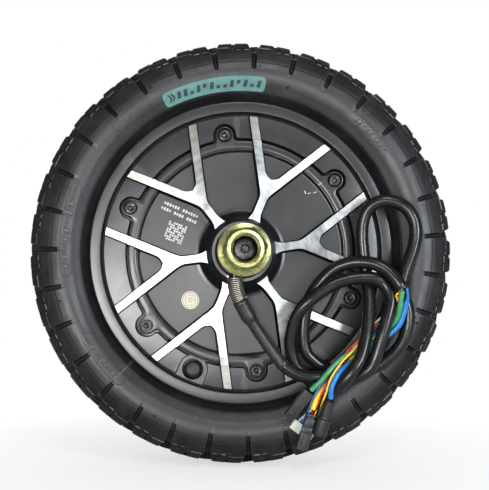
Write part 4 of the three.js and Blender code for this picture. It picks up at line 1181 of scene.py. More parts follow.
# ----------------------------------------------------------------- front cover
COVER_SECTION = [
    (20.0, 12.7), (20.0, 25.3), (13.5, 25.3), (13.5, 32.7), (15.1, 32.7), (15.1, 39.6, 1, 0.25),
    (15.7, 40.0, 1, 0.12), (17.5, 40.0, 2, 0.2), (18.2, 38.7, 2, 0.6), (20.3, 31.6, 2, 1.2),
    (24.2, 22.9, 0, 2.2), (27.0, 22.5, 0, 1.2), (60.4, 22.5, 0, 0.9), (61.6, 24.4, 0, 0.6),
    (63.0, 24.6, 0, 0.4), (66.0, 24.6, 0, 0.5), (66.4, 24.0, 0, 0.3), (66.4, 18.5, 0, 0.3),
    (24.5, 18.5, 0, 0.5), (24.5, 12.7)]
# Outer part of the ring's section as (inset from its outline, height).
RING_OUTER = ((0, 17.0), (0, 24.3), (0.10, 24.75), (0.35, 25.05), (0.75, 25.2))
# Inner part as (radius, height).
RING_INNER = ((63.6, 25.2), (62.7, 25.05), (61.9, 24.4), (61.4, 22.0), (62.5, 18.6))
# Sections of the oil seals, given for the front.
SEAL_SECTION = [
    (8.6, 33.2), (14.7, 33.1), (14.98, 38.6, 0, 0.3), (14.6, 39.2, 0, 0.3),
    (13.4, 39.2, 0, 0.25), (13.1, 38.3, 0, 0.3), (12.3, 37.9, 0, 0.3), (11.6, 37.4, 0, 0.3),
    (10.6, 37.0, 0, 0.3), (9.9, 37.3, 0, 0.2), (9.3, 37.1, 0, 0.2), (8.45, 36.4, 0, 0.1)]
SEAL_HOOP = [(9.5, 37.0), (9.9, 37.5, 0, 0.1), (10.3, 37.45, 0, 0.1), (10.4, 36.9)]


def front_cover():
    part = Part("front_cover_plate")
    lathe(part, fillet(COVER_SECTION, 0.4, 4), 220)
    part.finish("wheel", "painted", [PAINT, LIP, CONE_PAINT_AND_SHADE], ["front_cover"], angle=30)

    part = Part("front_cover_spokes")
    half = stem_cells() + arm_cells(0, COVER_JOINT, rows=10)
    for degrees in SPOKE_DEGREES:
        relief(part, half + mirror(half), 21.0, degrees, COVER_JOINT)
    part.finish("wheel", "painted", [SPOKE_FACE, WALL_PAINT_AND_SHADE], angle=24)


def cover_ring():
    """The cover's outer ring and its screw ears, one raised land with a soft edge."""
    part = Part("front_cover_ring")
    outline = ring_outline(67.15, 5.3, 3.0)
    normals = loop_normals(outline)
    circle = outline / np.hypot(outline[:, 0], outline[:, 1])[:, None]
    rings = [at_height(outline - normals * inset, height) for inset, height in RING_OUTER]
    rings += [at_height(circle * radius, height) for radius, height in RING_INNER]
    part.add(np.vstack(rings), band_faces(len(rings), len(outline)))
    obj = part.finish("wheel", "painted", [PAINT], angle=40)
    cut = Part("counterbores")
    for degrees in SCREW_DEGREES:
        lathe(cut, [(0.01, 20.7), (4.0, 20.7), (4.0, 24.7), (4.15, 25.0), (4.5, 25.3),
                    (4.5, 27), (0.01, 27)], 40, centre=polar(degrees, SCREW_CIRCLE))
    carve(obj, cut, 35)


def seals():
    for side, sign in SIDES:
        part = Part(f"{side}_seal")
        lathe(part, fillet(on_side(SEAL_SECTION, sign), 0.2), 120)
        lathe(part, fillet(on_side(SEAL_HOOP, sign), 0.1, 2), 120, mat=1)
        part.finish("wheel", "rubber", [SEAL, STEEL], [f"{side}_oil_seal"])


# ---------------------------------------------------------------------- screws
FRONT_SCREW = [
    (0.01, 8.5), (1.5, 8.7), (1.6, 9.2), (1.6, 20.7), (3.3, 20.8), (3.42, 21.0), (3.42, 24.1),
    (3.36, 24.45), (3.18, 24.68), (2.9, 24.8), (2.25, 24.8), (2.05, 24.7), (1.75, 24.4),
    (1.73, 22.9), (0.9, 22.5), (0.01, 22.4)]
REAR_SCREW = [
    (0.01, -12.6), (1.5, -12.8), (1.6, -13.2), (1.6, -24.8), (3.4, -24.92), (3.5, -25.2),
    (3.45, -25.9), (3.15, -26.7), (2.6, -27.3), (1.9, -27.6), (1.45, -27.6), (1.3, -27.3),
    (1.25, -26.2), (0.6, -25.9), (0.01, -25.85)]
SOCKET_TURNS = [12, 47, 25, 3, 38, 55]  # degrees


def screw(side, number, profile, segments, flats, first, flare, knurled=()):
    """Screw with a hexagon socket on three profile points from first, flared at its mouth.

    The knurled profile points are made to step in and out.
    """
    turn = math.radians(SOCKET_TURNS[number])

    def warp(angle, radius, height):
        socket = hexagon(angle, flats, turn)[:, 0]
        for k in range(first, first + 3):
            radius[:, k] = np.minimum(socket * (flare if k == first else 1.0), 2.2)
        for k in knurled:
            radius[:, k] *= 1 + 0.010 * np.sign(np.sin(30 * angle[:, 0]))
        return radius
    part = Part(f"{side}_screw_{number + 1}")
    lathe(part, profile, segments, polar(SCREW_DEGREES[number], SCREW_CIRCLE), warp)
    part.finish("wheel", "dark_steel", [OXIDE], [f"{side}_cover_screw_{number + 1}"], angle=35)


def screws():
    for i in range(len(SCREW_DEGREES)):
        screw("front", i, FRONT_SCREW, 60, flats=3.05, first=11, flare=1.06, knurled=(5, 6))
        screw("rear", i, REAR_SCREW, 48, flats=2.5, first=10, flare=1.08)


# ------------------------------------------------------------------ rear cover
REAR_SECTION = [
    (20.0, -12.7), (20.0, -25.3), (13.5, -25.3), (13.5, -32.7), (15.1, -32.7),
    (15.1, -39.6, 1, 0.25), (15.7, -40.0, 1, 0.12), (17.2, -40.0, 0, 0.2), (17.9, -36.0, 1, 0.3),
    (27.0, -36.0, 0, 0.5), (28.2, -35.0, 0, 0.5), (29.2, -25.4, 0, 1.2), (31.0, -24.6, 0, 1.0),
    (58.0, -24.6, 0, 0.5), (59.0, -23.9, 0, 0.4), (66.5, -23.9, 0, 0.4), (67.5, -24.6, 0, 0.5),
    (75.6, -24.6, 0, 0.4), (75.6, -20.9, 0, 0.3), (67.3, -20.9), (66.0, -18.5), (24.5, -18.5),
    (24.5, -12.7)]
DISC_HOLE = [(0.01, -37), (2.9, -37), (2.9, -36.05), (2.1, -35.3), (2.1, -28.0), (0.01, -27.2)]


def rear_cover():
    part = Part("rear_cover_plate")
    lathe(part, fillet(REAR_SECTION, 0.4), 200)
    obj = part.finish("wheel", "painted", [PAINT, LIP], ["rear_cover"], angle=30)
    cut = Part("disc_holes")
    for i in range(6):
        lathe(cut, DISC_HOLE, 28, centre=polar(30 + 60 * i, 22))
    carve(obj, cut)


def rear_ribs():
    """Twelve radial ribs on the rear cover, lower towards the rim."""
    part = Part("rear_cover_ribs")
    depth = 20  # height the ribs are drawn at, before being scaled down
    outline = rounded(1.0, 14.0, 0.9, centre=(0, 43.5))
    for i in range(12):
        def place(points, degrees=15 + 30 * i):
            points = turned(points, degrees)
            radius = np.hypot(points[..., 0], points[..., 1])
            rise = (points[..., 2] + depth) / depth * (2.6 - 2.0 * (radius - 29) / 29)
            points[..., 2] = -(24.4 + rise)
            return points
        prism(part, outline, -depth, 0, 0.5, place)
    part.finish("wheel", "painted", [PAINT], angle=35)


# -------------------------------------------------------------- nuts and axle
NUT_CORNER = 12.52  # radius of the softened corners
NUT_FLATS = 22.0
NUT_BASE = [
    (7.3, 57.0), (14.2, 57.0), (14.8, 57.15), (15.0, 57.5), (15.0, 58.2), (14.8, 58.55),
    (14.3, 58.75), (13.0, 59.2), (11.9, 59.7)]
NUT_HEX_HEIGHTS = [60.2, 61.0, 63.0, 65.5, 66.6, 67.4, 68.2, 68.9, 69.5, 70.0, 70.5, 70.9, 71.1]
NUT_TOP = [(10.1, 71.2), (8.9, 71.2), (8.3, 71.0), (7.6, 70.3)]
NUT_THREAD_ROOT = 6.95
AXLE_THREAD_CREST = 6.86
AXLE_TIP = [(0.01, 62.6), (1.95, 62.8), (2.1, 63.2), (2.1, 65.4), (2.55, 66.0), (5.3, 66.0),
            (6.0, 65.7)]
AXLE_BODY = [(6.55, 44.4), (8.0, 43.2), (8.2, 42.9), (8.2, 33.2), (8.2, 27.0), (8.2, 12.75),
             (11.4, 12.6), (11.5, 12.4)]
AXLE_FLAT = 5.6  # distance of the flats from the axis


def thread_wave(angle, height):
    """Triangle wave of a screw thread, 0 to 1."""
    return np.abs(2 * ((height / THREAD_PITCH - angle / TAU) % 1.0) - 1)


def nuts():
    thread = [(NUT_THREAD_ROOT, float(height)) for height in np.arange(70.0, 57.2, -THREAD_STEP)]
    hexes = [(NUT_CORNER, height) for height in NUT_HEX_HEIGHTS]
    profile = NUT_BASE + hexes + NUT_TOP + thread + [(7.5, 57.15)]
    hex_start = len(NUT_BASE)
    hex_end = hex_start + len(hexes)
    thread_start = hex_end + len(NUT_TOP)

    def warp(angle, radius, height):
        rows = slice(hex_start, hex_end)
        crown = 10.2 + (71.2 - height[:, rows]) * 1.02
        foot = np.maximum(11.4 + (height[:, rows] - 59.7) * 2.2, 11.5)
        flats = hexagon(angle, NUT_FLATS, math.radians(22))
        limit = np.minimum(np.minimum(flats, crown), foot)
        radius[:, rows] = np.minimum(radius[:, rows], limit)
        rows = slice(thread_start, thread_start + len(thread))
        radius[:, rows] += 0.62 * thread_wave(angle, height[:, rows])
        return radius
    for side, sign in SIDES:
        part = Part(f"{side}_nut")
        lathe(part, profile, 192, warp=warp,
              place=lambda points, sign=sign: points * np.array([1, sign, sign]))
        part.finish("axle", "zinc", [ZINC], [f"{side}_axle_nut"], angle=26)


def axle():
    """Threaded axle with two flats on each end, bored for the cable at the front."""
    thread = [(AXLE_THREAD_CREST, float(height))
              for height in np.arange(65.4, 44.6, -THREAD_STEP)]
    half = AXLE_TIP + thread + AXLE_BODY
    profile = half + on_side(half, -1)[::-1]
    start, end = len(AXLE_TIP), len(AXLE_TIP) + len(thread)
    total = len(profile)
    rows = np.r_[start:end, total - end:total - start]

    def warp(angle, radius, height):
        reach = np.abs(height)
        depth = 0.78 * smooth01((65.6 - reach[:, rows]) / 1.2)
        radius[:, rows] -= depth * (1 - thread_wave(angle, height[:, rows])) * 0.95
        cos = np.maximum(np.abs(np.cos(angle - math.radians(20) - math.pi / 2)), 1e-3)
        flat = (reach >= 41.6) & (reach <= 56.0)
        return np.where(flat, np.minimum(radius, AXLE_FLAT / cos), radius)
    profile = [(*point, 1 if k < start + 4 else 0) for k, point in enumerate(profile)]
    part = Part("axle_shaft")
    lathe(part, profile, 144, warp=warp)
    obj = part.finish("axle", "dark_steel", [OXIDE, AXLE_END], ["axle"], angle=30)

    cut = Part("lead_bore")
    curve, _ = lead_between(0, 46, 2.0)
    tube(cut, np.vstack([curve[0] - [0, 0, 6], curve]), 3.6, 14, round_ends=False)
    carve(obj, cut)


# ------------------------------------------------------- cable, wires and plugs
# Stations (x, z, h) along the cable, from inside the axle to its cut end.
CABLE = [
    (0, 0, 21), (0, 0, 30), (0, 0, 37), (-1.3, -2.6, 43.2), (-3.4, -7.6, 46.6),
    (-4.7, -14.9, 47), (-3.4, -24.07, 45.66), (-0.65, -30.37, 44.28), (3.78, -38.16, 43),
    (8.5, -45.41, 42), (14.35, -54.11, 41.41), (20.1, -61.62, 41.25), (25.24, -67.06, 41.41),
    (31.48, -70.78, 41.73), (38.37, -72.62, 41.88), (44.78, -72.54, 41.11),
    (51.1, -72.68, 39.44), (57.14, -73.57, 39.14), (62.68, -73.54, 40.77),
    (67.52, -71.79, 43.41), (71.76, -68.53, 45.4), (75.44, -61.96, 45.93),
    (77.92, -53.74, 46.35), (80.57, -45.18, 46.38), (83.08, -36.63, 45.96),
    (84.96, -28.07, 45.1), (83.87, -22.44, 43.99), (80.86, -18.58, 43.18),
    (76.32, -15.82, 43.1), (68.99, -15.15, 42.49), (60.92, -16.13, 42.26),
    (52.84, -18.84, 42.29), (45.41, -23.22, 42.53), (39.13, -28.08, 42.6),
    (34.4, -32.62, 41.65), (30.87, -38.49, 39.68), (28.94, -46.15, 37.74),
    (28.35, -54.43, 36.14), (31.22, -65.48, 34.99), (34.73, -69.63, 34.26),
    (38.45, -73.6, 34.03), (42.42, -77.06, 35), (46.43, -79.64, 37.47), (50.4, -80.18, 40.92),
    (53.97, -78.78, 44.45), (57.26, -75.46, 46.91), (60.23, -71.48, 48.09),
    (63.3, -66.92, 48.07), (66.54, -62.48, 47.13), (68.6, -57.4, 46), (70.65, -49.74, 44.38),
    (72.57, -40.73, 42.05), (73.67, -31.56, 39.38), (73.85, -23.4, 36.87),
    (73.14, -15.3, 34.87), (71.99, -6.96, 34.34), (71.09, 1.25, 34.26), (70.48, 9.43, 34.57),
    (71.06, 18.17, 35.21), (73.17, 24.2, 36.11), (77.23, 28.12, 37.16), (83, 29.69, 38.18),
    (89.69, 28.4, 39), (95.99, 24.32, 39.52), (99.75, 17.66, 39.76), (100.62, 9.84, 39.8),
    (99.25, 2.05, 39.69), (96.75, -5.46, 39.56), (94.24, -12.41, 39.48),
    (92.74, -18.79, 39.54), (93.34, -24.89, 39.69), (95.29, -30.68, 39.85),
    (96.34, -36.76, 39.94), (95.87, -43.41, 39.94), (93.7, -50.37, 39.84),
    (89.96, -56.74, 39.62), (84.82, -61.97, 39.28), (78.98, -66.51, 38.86),
    (72.21, -68.38, 37.41), (65.48, -69.6, 34.54), (58.91, -69.9, 32.46),
    (52.64, -69.17, 32.06), (47.09, -67.06, 32.43), (42.32, -63.55, 32.86),
    (38.19, -58.97, 33.2), (36.36, -51.56, 33.52), (36.18, -44.51, 33.88),
    (36.95, -36.89, 34.34), (38.83, -29.54, 34.68), (42.47, -22.47, 35.04),
    (47.66, -15.78, 35.96), (51.77, -11.74, 37.24), (56.29, -8.63, 38.83),
    (63.36, -6.47, 40.58), (69.55, -6.28, 42.37), (75.06, -7.25, 44.3), (80.84, -9.96, 46.41),
    (85.13, -14.11, 48.09), (88.08, -18.12, 49.21), (89.71, -20.99, 49.71)]
# Stations (x, z, h) along each wire, from the cable's end to its plug.
WIRES = {
    "wire_phase_blue": [
        (92.13, -21.36, 49.94), (93.11, -26.86, 48.31), (92.7, -32.31, 46.65),
        (91.6, -37.54, 45.62), (89.7, -42.55, 44.34), (86.01, -46.69, 42.95),
        (81.51, -50.46, 41.45), (76.76, -54.31, 40.89), (71.86, -58.12, 41.02),
        (66.78, -61.66, 41.46), (61.68, -64.56, 43.28), (56.83, -68.06, 45.48),
        (52.87, -72.45, 47.84), (50.36, -78.08, 48.39), (49.94, -84.25, 46.9)],
    "wire_phase_green": [
        (89.68, -22.83, 51.58), (89.3, -28.17, 50.32), (88.93, -32.95, 48.88),
        (88.47, -37.5, 46.44), (86.64, -41.49, 43.54), (83.1, -45.01, 41.51),
        (78.39, -48.23, 40.77), (73.71, -51.66, 40.08), (68.79, -55.24, 39.9),
        (63.33, -58.24, 41.51), (57.81, -61.39, 42.89), (52.85, -65.35, 44.3),
        (48.27, -69.95, 46.03), (43.94, -75.08, 46.29), (39.19, -79.81, 44.6)],
    "wire_phase_yellow": [
        (89.89, -23.13, 48.31), (90.38, -27.6, 44.84), (89.07, -32.2, 41.66),
        (86.76, -36.97, 39.99), (83.86, -41.83, 38.86), (80.63, -46.69, 37.95),
        (76.99, -51.47, 37.88), (72.54, -55.84, 38.18), (67.87, -60, 37.94),
        (61.91, -63.34, 38.47), (57.26, -67.57, 40.96), (53.04, -70.96, 44.27),
        (48.96, -75.43, 45.11), (45.65, -80.23, 44.32), (42.6, -85.17, 43.25),
        (40.22, -90.98, 43.8)],
    "wire_hall_yellow": [
        (88.07, -24.07, 50.57), (86.88, -25.33, 49.15), (88.84, -29.7, 47.74),
        (88.16, -34.49, 44.83), (84.95, -38.98, 42.06), (81.16, -42.27, 40.51),
        (76.56, -45.38, 39.36), (71.84, -49.08, 39.62), (67.32, -53.32, 41.17),
        (62.75, -57.73, 43.61), (57.79, -62.62, 45.39), (53.23, -68.23, 47.26),
        (49.35, -74.39, 48.25), (47.24, -81.3, 47.01), (44.59, -88.3, 43.83),
        (41.27, -95.24, 40.62), (37.54, -101.95, 37.8)],
    "wire_hall_red": [
        (88.16, -24.19, 49.26), (89.33, -28.28, 46.57), (88.41, -32.48, 43.65),
        (85.12, -36.04, 41.65), (80.93, -39.73, 40.2), (76.33, -43.78, 39.6),
        (71.54, -47.97, 39.21), (66.75, -52.38, 39.56), (61.84, -57.07, 39.96),
        (57.38, -62.62, 40.8), (52.93, -68.21, 42.44), (48.36, -73.06, 46.03),
        (45.47, -80.01, 46.58), (43.86, -87.34, 43.69), (40.43, -94.02, 40.06),
        (36.04, -100.76, 37.8)],
    "wire_hall_white": [
        (91.48, -22.2, 47.05), (89.52, -25.41, 43.66), (87.61, -30.19, 41.76),
        (84.14, -34.7, 40.53), (79.87, -39.11, 39.56), (75.58, -43.59, 38.65),
        (71.27, -48.19, 38.06), (67.06, -52.78, 38.48), (62.77, -57.49, 39.32),
        (58.98, -62.39, 41.09), (55.44, -66.46, 43.93), (51.53, -71.21, 46.62),
        (48.66, -77.24, 46.98), (45.97, -83.17, 44.87), (42.86, -88.65, 41.4),
        (37.79, -93.49, 39.13), (33.04, -98.39, 37.8)],
    "wire_hall_green": [
        (92.42, -21.46, 47.73), (91.28, -25.35, 44.02), (88.54, -29.7, 41),
        (85.34, -34.68, 39.7), (81.73, -39.85, 39.09), (77.9, -44.98, 38.35),
        (73.91, -50.15, 37.52), (69.92, -55.14, 37.64), (66.06, -59.73, 39.84),
        (61.4, -65.85, 40.5), (56.47, -70.87, 43.38), (51.22, -75.61, 46.01),
        (47.67, -82.02, 45.3), (45.13, -88.92, 42.75), (43.11, -96.43, 40.08),
        (40.54, -104.32, 37.8)],
    "wire_hall_blue": [
        (92.14, -21.05, 52.16), (92.77, -26.79, 50.79), (90.28, -32.16, 47.27),
        (87.41, -37.11, 44.29), (83.53, -41.74, 41.71), (78.72, -45.9, 38.92),
        (75.48, -51.01, 36.16), (73.09, -57.22, 36.49), (68.92, -62.03, 38.68),
        (63.05, -65.07, 40.97), (56.61, -66.18, 42.53), (50.43, -69.15, 43.69),
        (47.17, -74.21, 45.11), (43.29, -79.84, 44.14), (39.94, -85.97, 42.24),
        (37.59, -92.93, 40.6), (34.54, -99.58, 37.8)],
    "wire_hall_black": [
        (91.12, -21.67, 52.84), (91.7, -26.94, 50.32), (90.04, -30.63, 46.33),
        (87.4, -35.08, 43.3), (83.05, -39.2, 41.4), (78.48, -43.56, 40.9),
        (74.18, -48.6, 39.78), (69.04, -52.74, 38.74), (64.17, -57.63, 38.89),
        (60.06, -62.49, 41.83), (55, -66, 45.05), (50.11, -71.31, 46.46),
        (46.73, -79.37, 47.25), (44.13, -87.42, 45.1), (42.18, -95.59, 41.51),
        (39.04, -103.14, 37.8)],
}
# Slot and material of each wire colour.
WIRE_LOOK = {"blue": ("blue", BLUE), "green": ("green", GREEN), "yellow": ("yellow", YELLOW),
             "red": ("red", RED), "white": ("white", WHITE), "black": ("cable", JACKET)}
# Start and end (x, z, h) of each plug.
PLUGS = {
    "yellow": ((39.7, -93.3, 43.6), (33.5, -114.3, 43.4)),
    "blue": ((49.6, -85.5, 46.6), (43.7, -106.3, 43.2)),
    "green": ((38.4, -80.4, 44.3), (25.8, -96.7, 42.2)),
    "hall": ((36.8, -101.4, 37.8), (33.1, -106.1, 37.8)),
}
SLEEVE_STATIONS = [51.2, 51.8, 62.5, 65.5, 93.8, 94.6, 96.6, 97.2]  # distance along the cable
SLEEVE_RADII = [4.0, 4.4, 4.35, 3.32, 3.3, 3.8, 3.8, 3.5]
BOOT_SECTION = [
    (1.5, 0.4), (2.6, 0.4, 0, 0.3), (3.0, 1.0, 0, 0.4), (3.0, 9.8, 0, 0.5), (3.2, 10.6, 0, 0.4),
    (4.15, 11.3, 0, 0.5), (4.3, 12.6, 0, 0.6), (4.3, 20.4, 0, 0.4), (4.1, 21.4, 0, 0.4),
    (2.9, 21.4, 0, 0.3), (2.3, 20.9, 0, 0.2), (2.2, 14.0), (1.5, 13.8)]
lead_curve, lead_along = spline(CABLE, 1.0)


def lead_between(start, end, step):
    """Stretch of the cable's centre line, with the distances along it."""
    at = np.linspace(start, end, max(4, int(round((end - start) / step)) + 1))
    return sample(lead_along, lead_curve, at), at


def cable_jacket():
    part = Part("lead_jacket")
    curve, at = lead_between(96.6, lead_along[-1], 1.15)
    radius = 3.7 * (1 + 0.006 * np.sin(at / 5.3) + 0.005 * np.sin(at / 2.1 + 1))
    radius[0], radius[-1] = 3.5, 3.45
    tube(part, curve, radius, 28)
    # Thinner core through the axle and under the sleeve.
    curve, _ = lead_between(12, 99, 1.2)
    tube(part, curve, 2.6, 18)
    part.finish("axle", "cable", [JACKET], ["main_cable"], angle=50)


def guard_spring():
    turns, steps_per_turn, coil_radius = 13.5, 22, 4.0
    curve, _ = lead_between(36.8, 50.8, 0.25)
    _, normal, binormal = frames(curve)
    portion = np.linspace(0, 1, int(turns * steps_per_turn) + 1)
    centre, normal, binormal = (
        sample(np.arange(len(curve)), values, portion * (len(curve) - 1))
        for values in (curve, normal, binormal))
    angle = (portion * turns * TAU)[:, None]
    coil = (centre + normal * (coil_radius * np.cos(angle))
            + binormal * (coil_radius * np.sin(angle)))
    part = Part("lead_guard_spring")
    tube(part, coil, 0.50, 10)
    part.finish("axle", "spring", [SPRING], ["cable_guard_spring"], angle=50)


def cable_sleeve():
    part = Part("lead_sleeve")
    curve, at = lead_between(SLEEVE_STATIONS[0], SLEEVE_STATIONS[-1], 0.8)
    radius = np.interp(at, SLEEVE_STATIONS, SLEEVE_RADII)
    radius += 0.045 * np.sin(at * 1.7) * (at < 94) + 0.03 * np.sin(at * 0.63)
    tube(part, curve, radius, 28)
    part.finish("axle", "cable", [SLEEVE], ["cable_sleeve"], angle=50)


def wires():
    """Thick phase wires and thin, slightly twisting signal wires."""
    for name, stations in WIRES.items():
        curve, at = spline(stations, 0.9)
        part = Part(name.replace("wire_", "lead_wire_"))
        offset = len(name)  # puts the waviness of the wires out of step
        if name.startswith("wire_phase"):
            tube(part, curve, 1.55 * (1 + 0.012 * np.sin(at / 1.9 + offset)), 18)
        else:
            ends = np.clip(1 - np.minimum(at, at[-1] - at) / 8, 0, 1)
            swing = 0.28 * (0.5 + 0.5 * np.cos(ends * math.pi))
            _, normal, binormal = frames(curve)
            twist = at / 7.0 + offset
            curve = (curve + normal * (swing * np.cos(twist))[:, None]
                     + binormal * (swing * np.sin(twist))[:, None])
            tube(part, curve, 0.60, 12)
        slot, material = WIRE_LOOK[name.split("_")[-1]]
        part.finish("axle", slot, [material], [name], angle=60)


def dome(part, place, x, along, out, radius, lift):
    """Small round boss with a dimple, on a plug's front face."""
    rings = []
    for ring_radius, rise in ((radius, -0.4), (radius, lift * 0.6), (radius * 0.8, lift),
                              (radius * 0.35, lift), (radius * 0.3, lift - 0.35)):
        angle = np.arange(18) * TAU / 18
        rings.append(place(np.c_[x + ring_radius * np.cos(angle), np.full(18, out + rise),
                                 along + ring_radius * np.sin(angle)]))
    loft(part, rings)


def raised_bar(part, place, x, half, along, out, edge=0.15):
    """Bar on a plug's front face; along and out are its (low, high) limits."""
    rings = []
    for height, inset in ((out[0], 0), (out[1] - edge, 0), (out[1], edge)):
        left, right = x - half + inset, x + half - inset
        start, end = along[0] + inset, along[1] - inset
        rings.append(place([(left, height, start), (right, height, start),
                            (right, height, end), (left, height, end)]))
    loft(part, rings)


def yellow_plug():
    """Stepped single-way housing."""
    place = standing(*PLUGS["yellow"])
    part = Part("plug_phase_yellow")
    for half_x, half_y, low, high, rounding in (
            (2.75, 2.4, 0.4, 1.9, 0.6), (2.2, 1.9, 1.7, 3.2, 0.5),
            (2.8, 2.5, 2.9, 8.4, 0.55), (3.0, 2.3, 8.0, 12.2, 0.5)):
        rounded_box(part, place, half_x, half_y, low, high, rounding)
    face = 3.02
    open_box(part, place, 3.28, face, 11.4, 21.8, wall=0.9, depth=6.0, rounding=0.6)
    raised_bar(part, place, 0, 1.3, along=(12.2, 17.4), out=(2.7, 3.2))
    dome(part, place, 0.3, 19.2, face, radius=0.85, lift=0.28)
    for sign in (-1, 1):
        raised_bar(part, place, sign * 3.0, 0.25, along=(12.6, 21.0), out=(1.8, 3.2))
    rounded_box(part, place, 0.9, 0.28, 12, 20.4, 0.12, mat=1)
    part.finish("axle", "black_plastic", [HOUSING, STEEL], ["connector_phase_yellow"], angle=35)


def blue_plug():
    """Soft round boot, thin over the wire and thick over the plug."""
    place = standing(*PLUGS["blue"])
    part = Part("plug_phase_blue")
    lathe(part, fillet(BOOT_SECTION, 0.3, 4), 44, place=place)
    lathe(part, [(0.01, 1), (1.4, 1), (1.4, 17.5), (1.1, 18.2), (0.01, 18.4)], 24,
          place=place, mat=1)
    # Raised hoops: radius of the boot side, radius of the crest, middle, half widths.
    for low, high, middle, foot, crest in ((2.9, 3.18, 1.9, 0.5, 0.25),
                                           (2.9, 3.18, 8.9, 0.5, 0.25),
                                           (4.2, 4.48, 19.65, 0.65, 0.35)):
        hoop = [(low, middle - foot), (high, middle - crest, 0, 0.15),
                (high, middle + crest, 0, 0.15), (low, middle + foot)]
        lathe(part, fillet(hoop, 0.1, 2), 40, place=place)
    part.finish("axle", "black_plastic", [BOOT, STEEL], ["connector_phase_blue"], angle=40)


def green_plug():
    """Flat housing with grip ribs between two rails."""
    place = standing(*PLUGS["green"])
    part = Part("plug_phase_green")
    face = 2.48
    open_box(part, place, 3.08, face, 0.4, 19.6, wall=0.8, depth=6.0, rounding=0.5)
    for k in range(7):
        raised_bar(part, place, 0, 1.9, along=(1.3 + k * 0.95, 1.75 + k * 0.95),
                   out=(face - 0.2, face + 0.26), edge=0.1)
    for sign in (-1, 1):
        raised_bar(part, place, sign * 2.6, 0.3, along=(1.0, 19.0),
                   out=(face - 0.2, face + 0.35))
    dome(part, place, -0.4, 16.2, face, radius=0.9, lift=0.22)
    rounded_box(part, place, 0.9, 0.28, 12, 18.4, 0.12, mat=1)
    part.finish("axle", "black_plastic", [HOUSING, STEEL], ["connector_phase_green"], angle=35)


def signal_plug():
    """Six-way plug: open far end with walls between the ways."""
    place = standing(*PLUGS["hall"])
    pitch = 2.1
    part = Part("plug_signal")
    open_box(part, place, 7.2, 1.8, 0.3, 6.2, wall=0.55, depth=3.2, rounding=0.35, end=0.2)
    for k in range(5):
        rounded_box(part, place, 0.22, 1.35, 2.6, 6.0, 0.1, x=(k - 2) * pitch, end=0.1)
    for k in range(6):
        rounded_box(part, place, 0.32, 0.32, 2.6, 5.6, 0.1, mat=1, x=(k - 2.5) * pitch,
                    end=0.15)
    for sign in (-1, 1):
        rounded_box(part, place, 0.5, 1.9, 1.2, 4.2, 0.25, x=sign * 6.2)
    part.finish("axle", "white", [WHITE, COPPER], ["connector_hall"], angle=35)


# ----------------------------------------------------------------------- valve
# Sections along the valve's own axis.
STEM_SECTION = [
    (1.0, -1.0), (5.0, -1.0, 0, 0.4), (5.2, 2.6, 0, 0.4), (3.9, 3.1), (3.9, 13.2),
    (4.6, 13.2, 0, 0.2), (4.4, 14.6, 0, 0.4), (3.4, 15.2, 1, 0.2), (3.4, 22.3, 1, 0.2),
    (3.1, 22.6, 1, 0.1), (1.0, 22.6, 0)]
CAP_SECTION = [
    (0.02, 23.4), (3.8, 23.4), (3.8, 15.6), (5.0, 15.6, 0, 0.3), (5.2, 16.4, 0, 0.3),
    (5.2, 23.6, 0, 0.5), (4.95, 25.0, 0, 0.8), (3.7, 26.4, 0, 1.0), (1.8, 26.85, 0, 0.8),
    (0.02, 26.9)]
PIN_SECTION = [
    (0.02, 6), (0.6, 6.0, 0, 0.1), (0.6, 20.4, 0, 0.1), (0.42, 20.8, 0, 0.1),
    (0.42, 21.4, 0, 0.1), (0.6, 21.6, 0, 0.1), (0.55, 22.0, 0, 0.1), (0.02, 22.0)]


def flute(angle, radius, height):
    """Shallow grip grooves round the cap's outer wall."""
    band = smooth01((height - 15.9) / 0.5) * smooth01((25.0 - height) / 0.8) * (radius > 4.6)
    return radius * (1 - 0.020 * band * (0.5 + 0.5 * np.cos(26 * angle)))


def valve():
    place = standing((*polar(VALVE_DEGREES, 78), 0), (*polar(VALVE_DEGREES, 75), 24))
    part = Part("valve_stem_rubber")
    lathe(part, fillet(STEM_SECTION, 0.2), 56, place=place)
    part.finish("wheel", "rubber", [SEAL, ZINC], ["valve_stem"], angle=35)
    part = Part("valve_cap_moulded")
    lathe(part, fillet(CAP_SECTION, 0.3, 5), 156, warp=flute, place=place)
    part.finish("valve_cap", "black_plastic", [BOOT], ["valve_cap"], angle=40)
    part = Part("valve_pin_turned")
    lathe(part, fillet(PIN_SECTION, 0.1, 2), 24, place=place)
    part.finish("valve_pin", "bright_steel", [STEEL], ["valve_pin"], angle=35)


# --------------------------------------------------- sticker and prints on the cover
STICKER = (-30.0, -28.2)
# Rows of dashes: start, end, count, and every which dash is left out.
DASH_ROWS = (((-47.6, 27.7), (-24.8, 17.5), 15, 5), ((-45.8, 30.6), (-23.7, 21.0), 14, 7))
# (start x, start z, end x, end z, half width, height)
SCUFFS = ((38.1, 37.2, 39.6, 35.7, 0.32, 22.4), (40.5, 35.2, 42.0, 36.6, 0.24, 22.4),
          (44.0, 35.6, 45.5, 37.3, 0.28, 22.4), (46.6, 40.2, 48.0, 42.0, 0.26, 25.02))


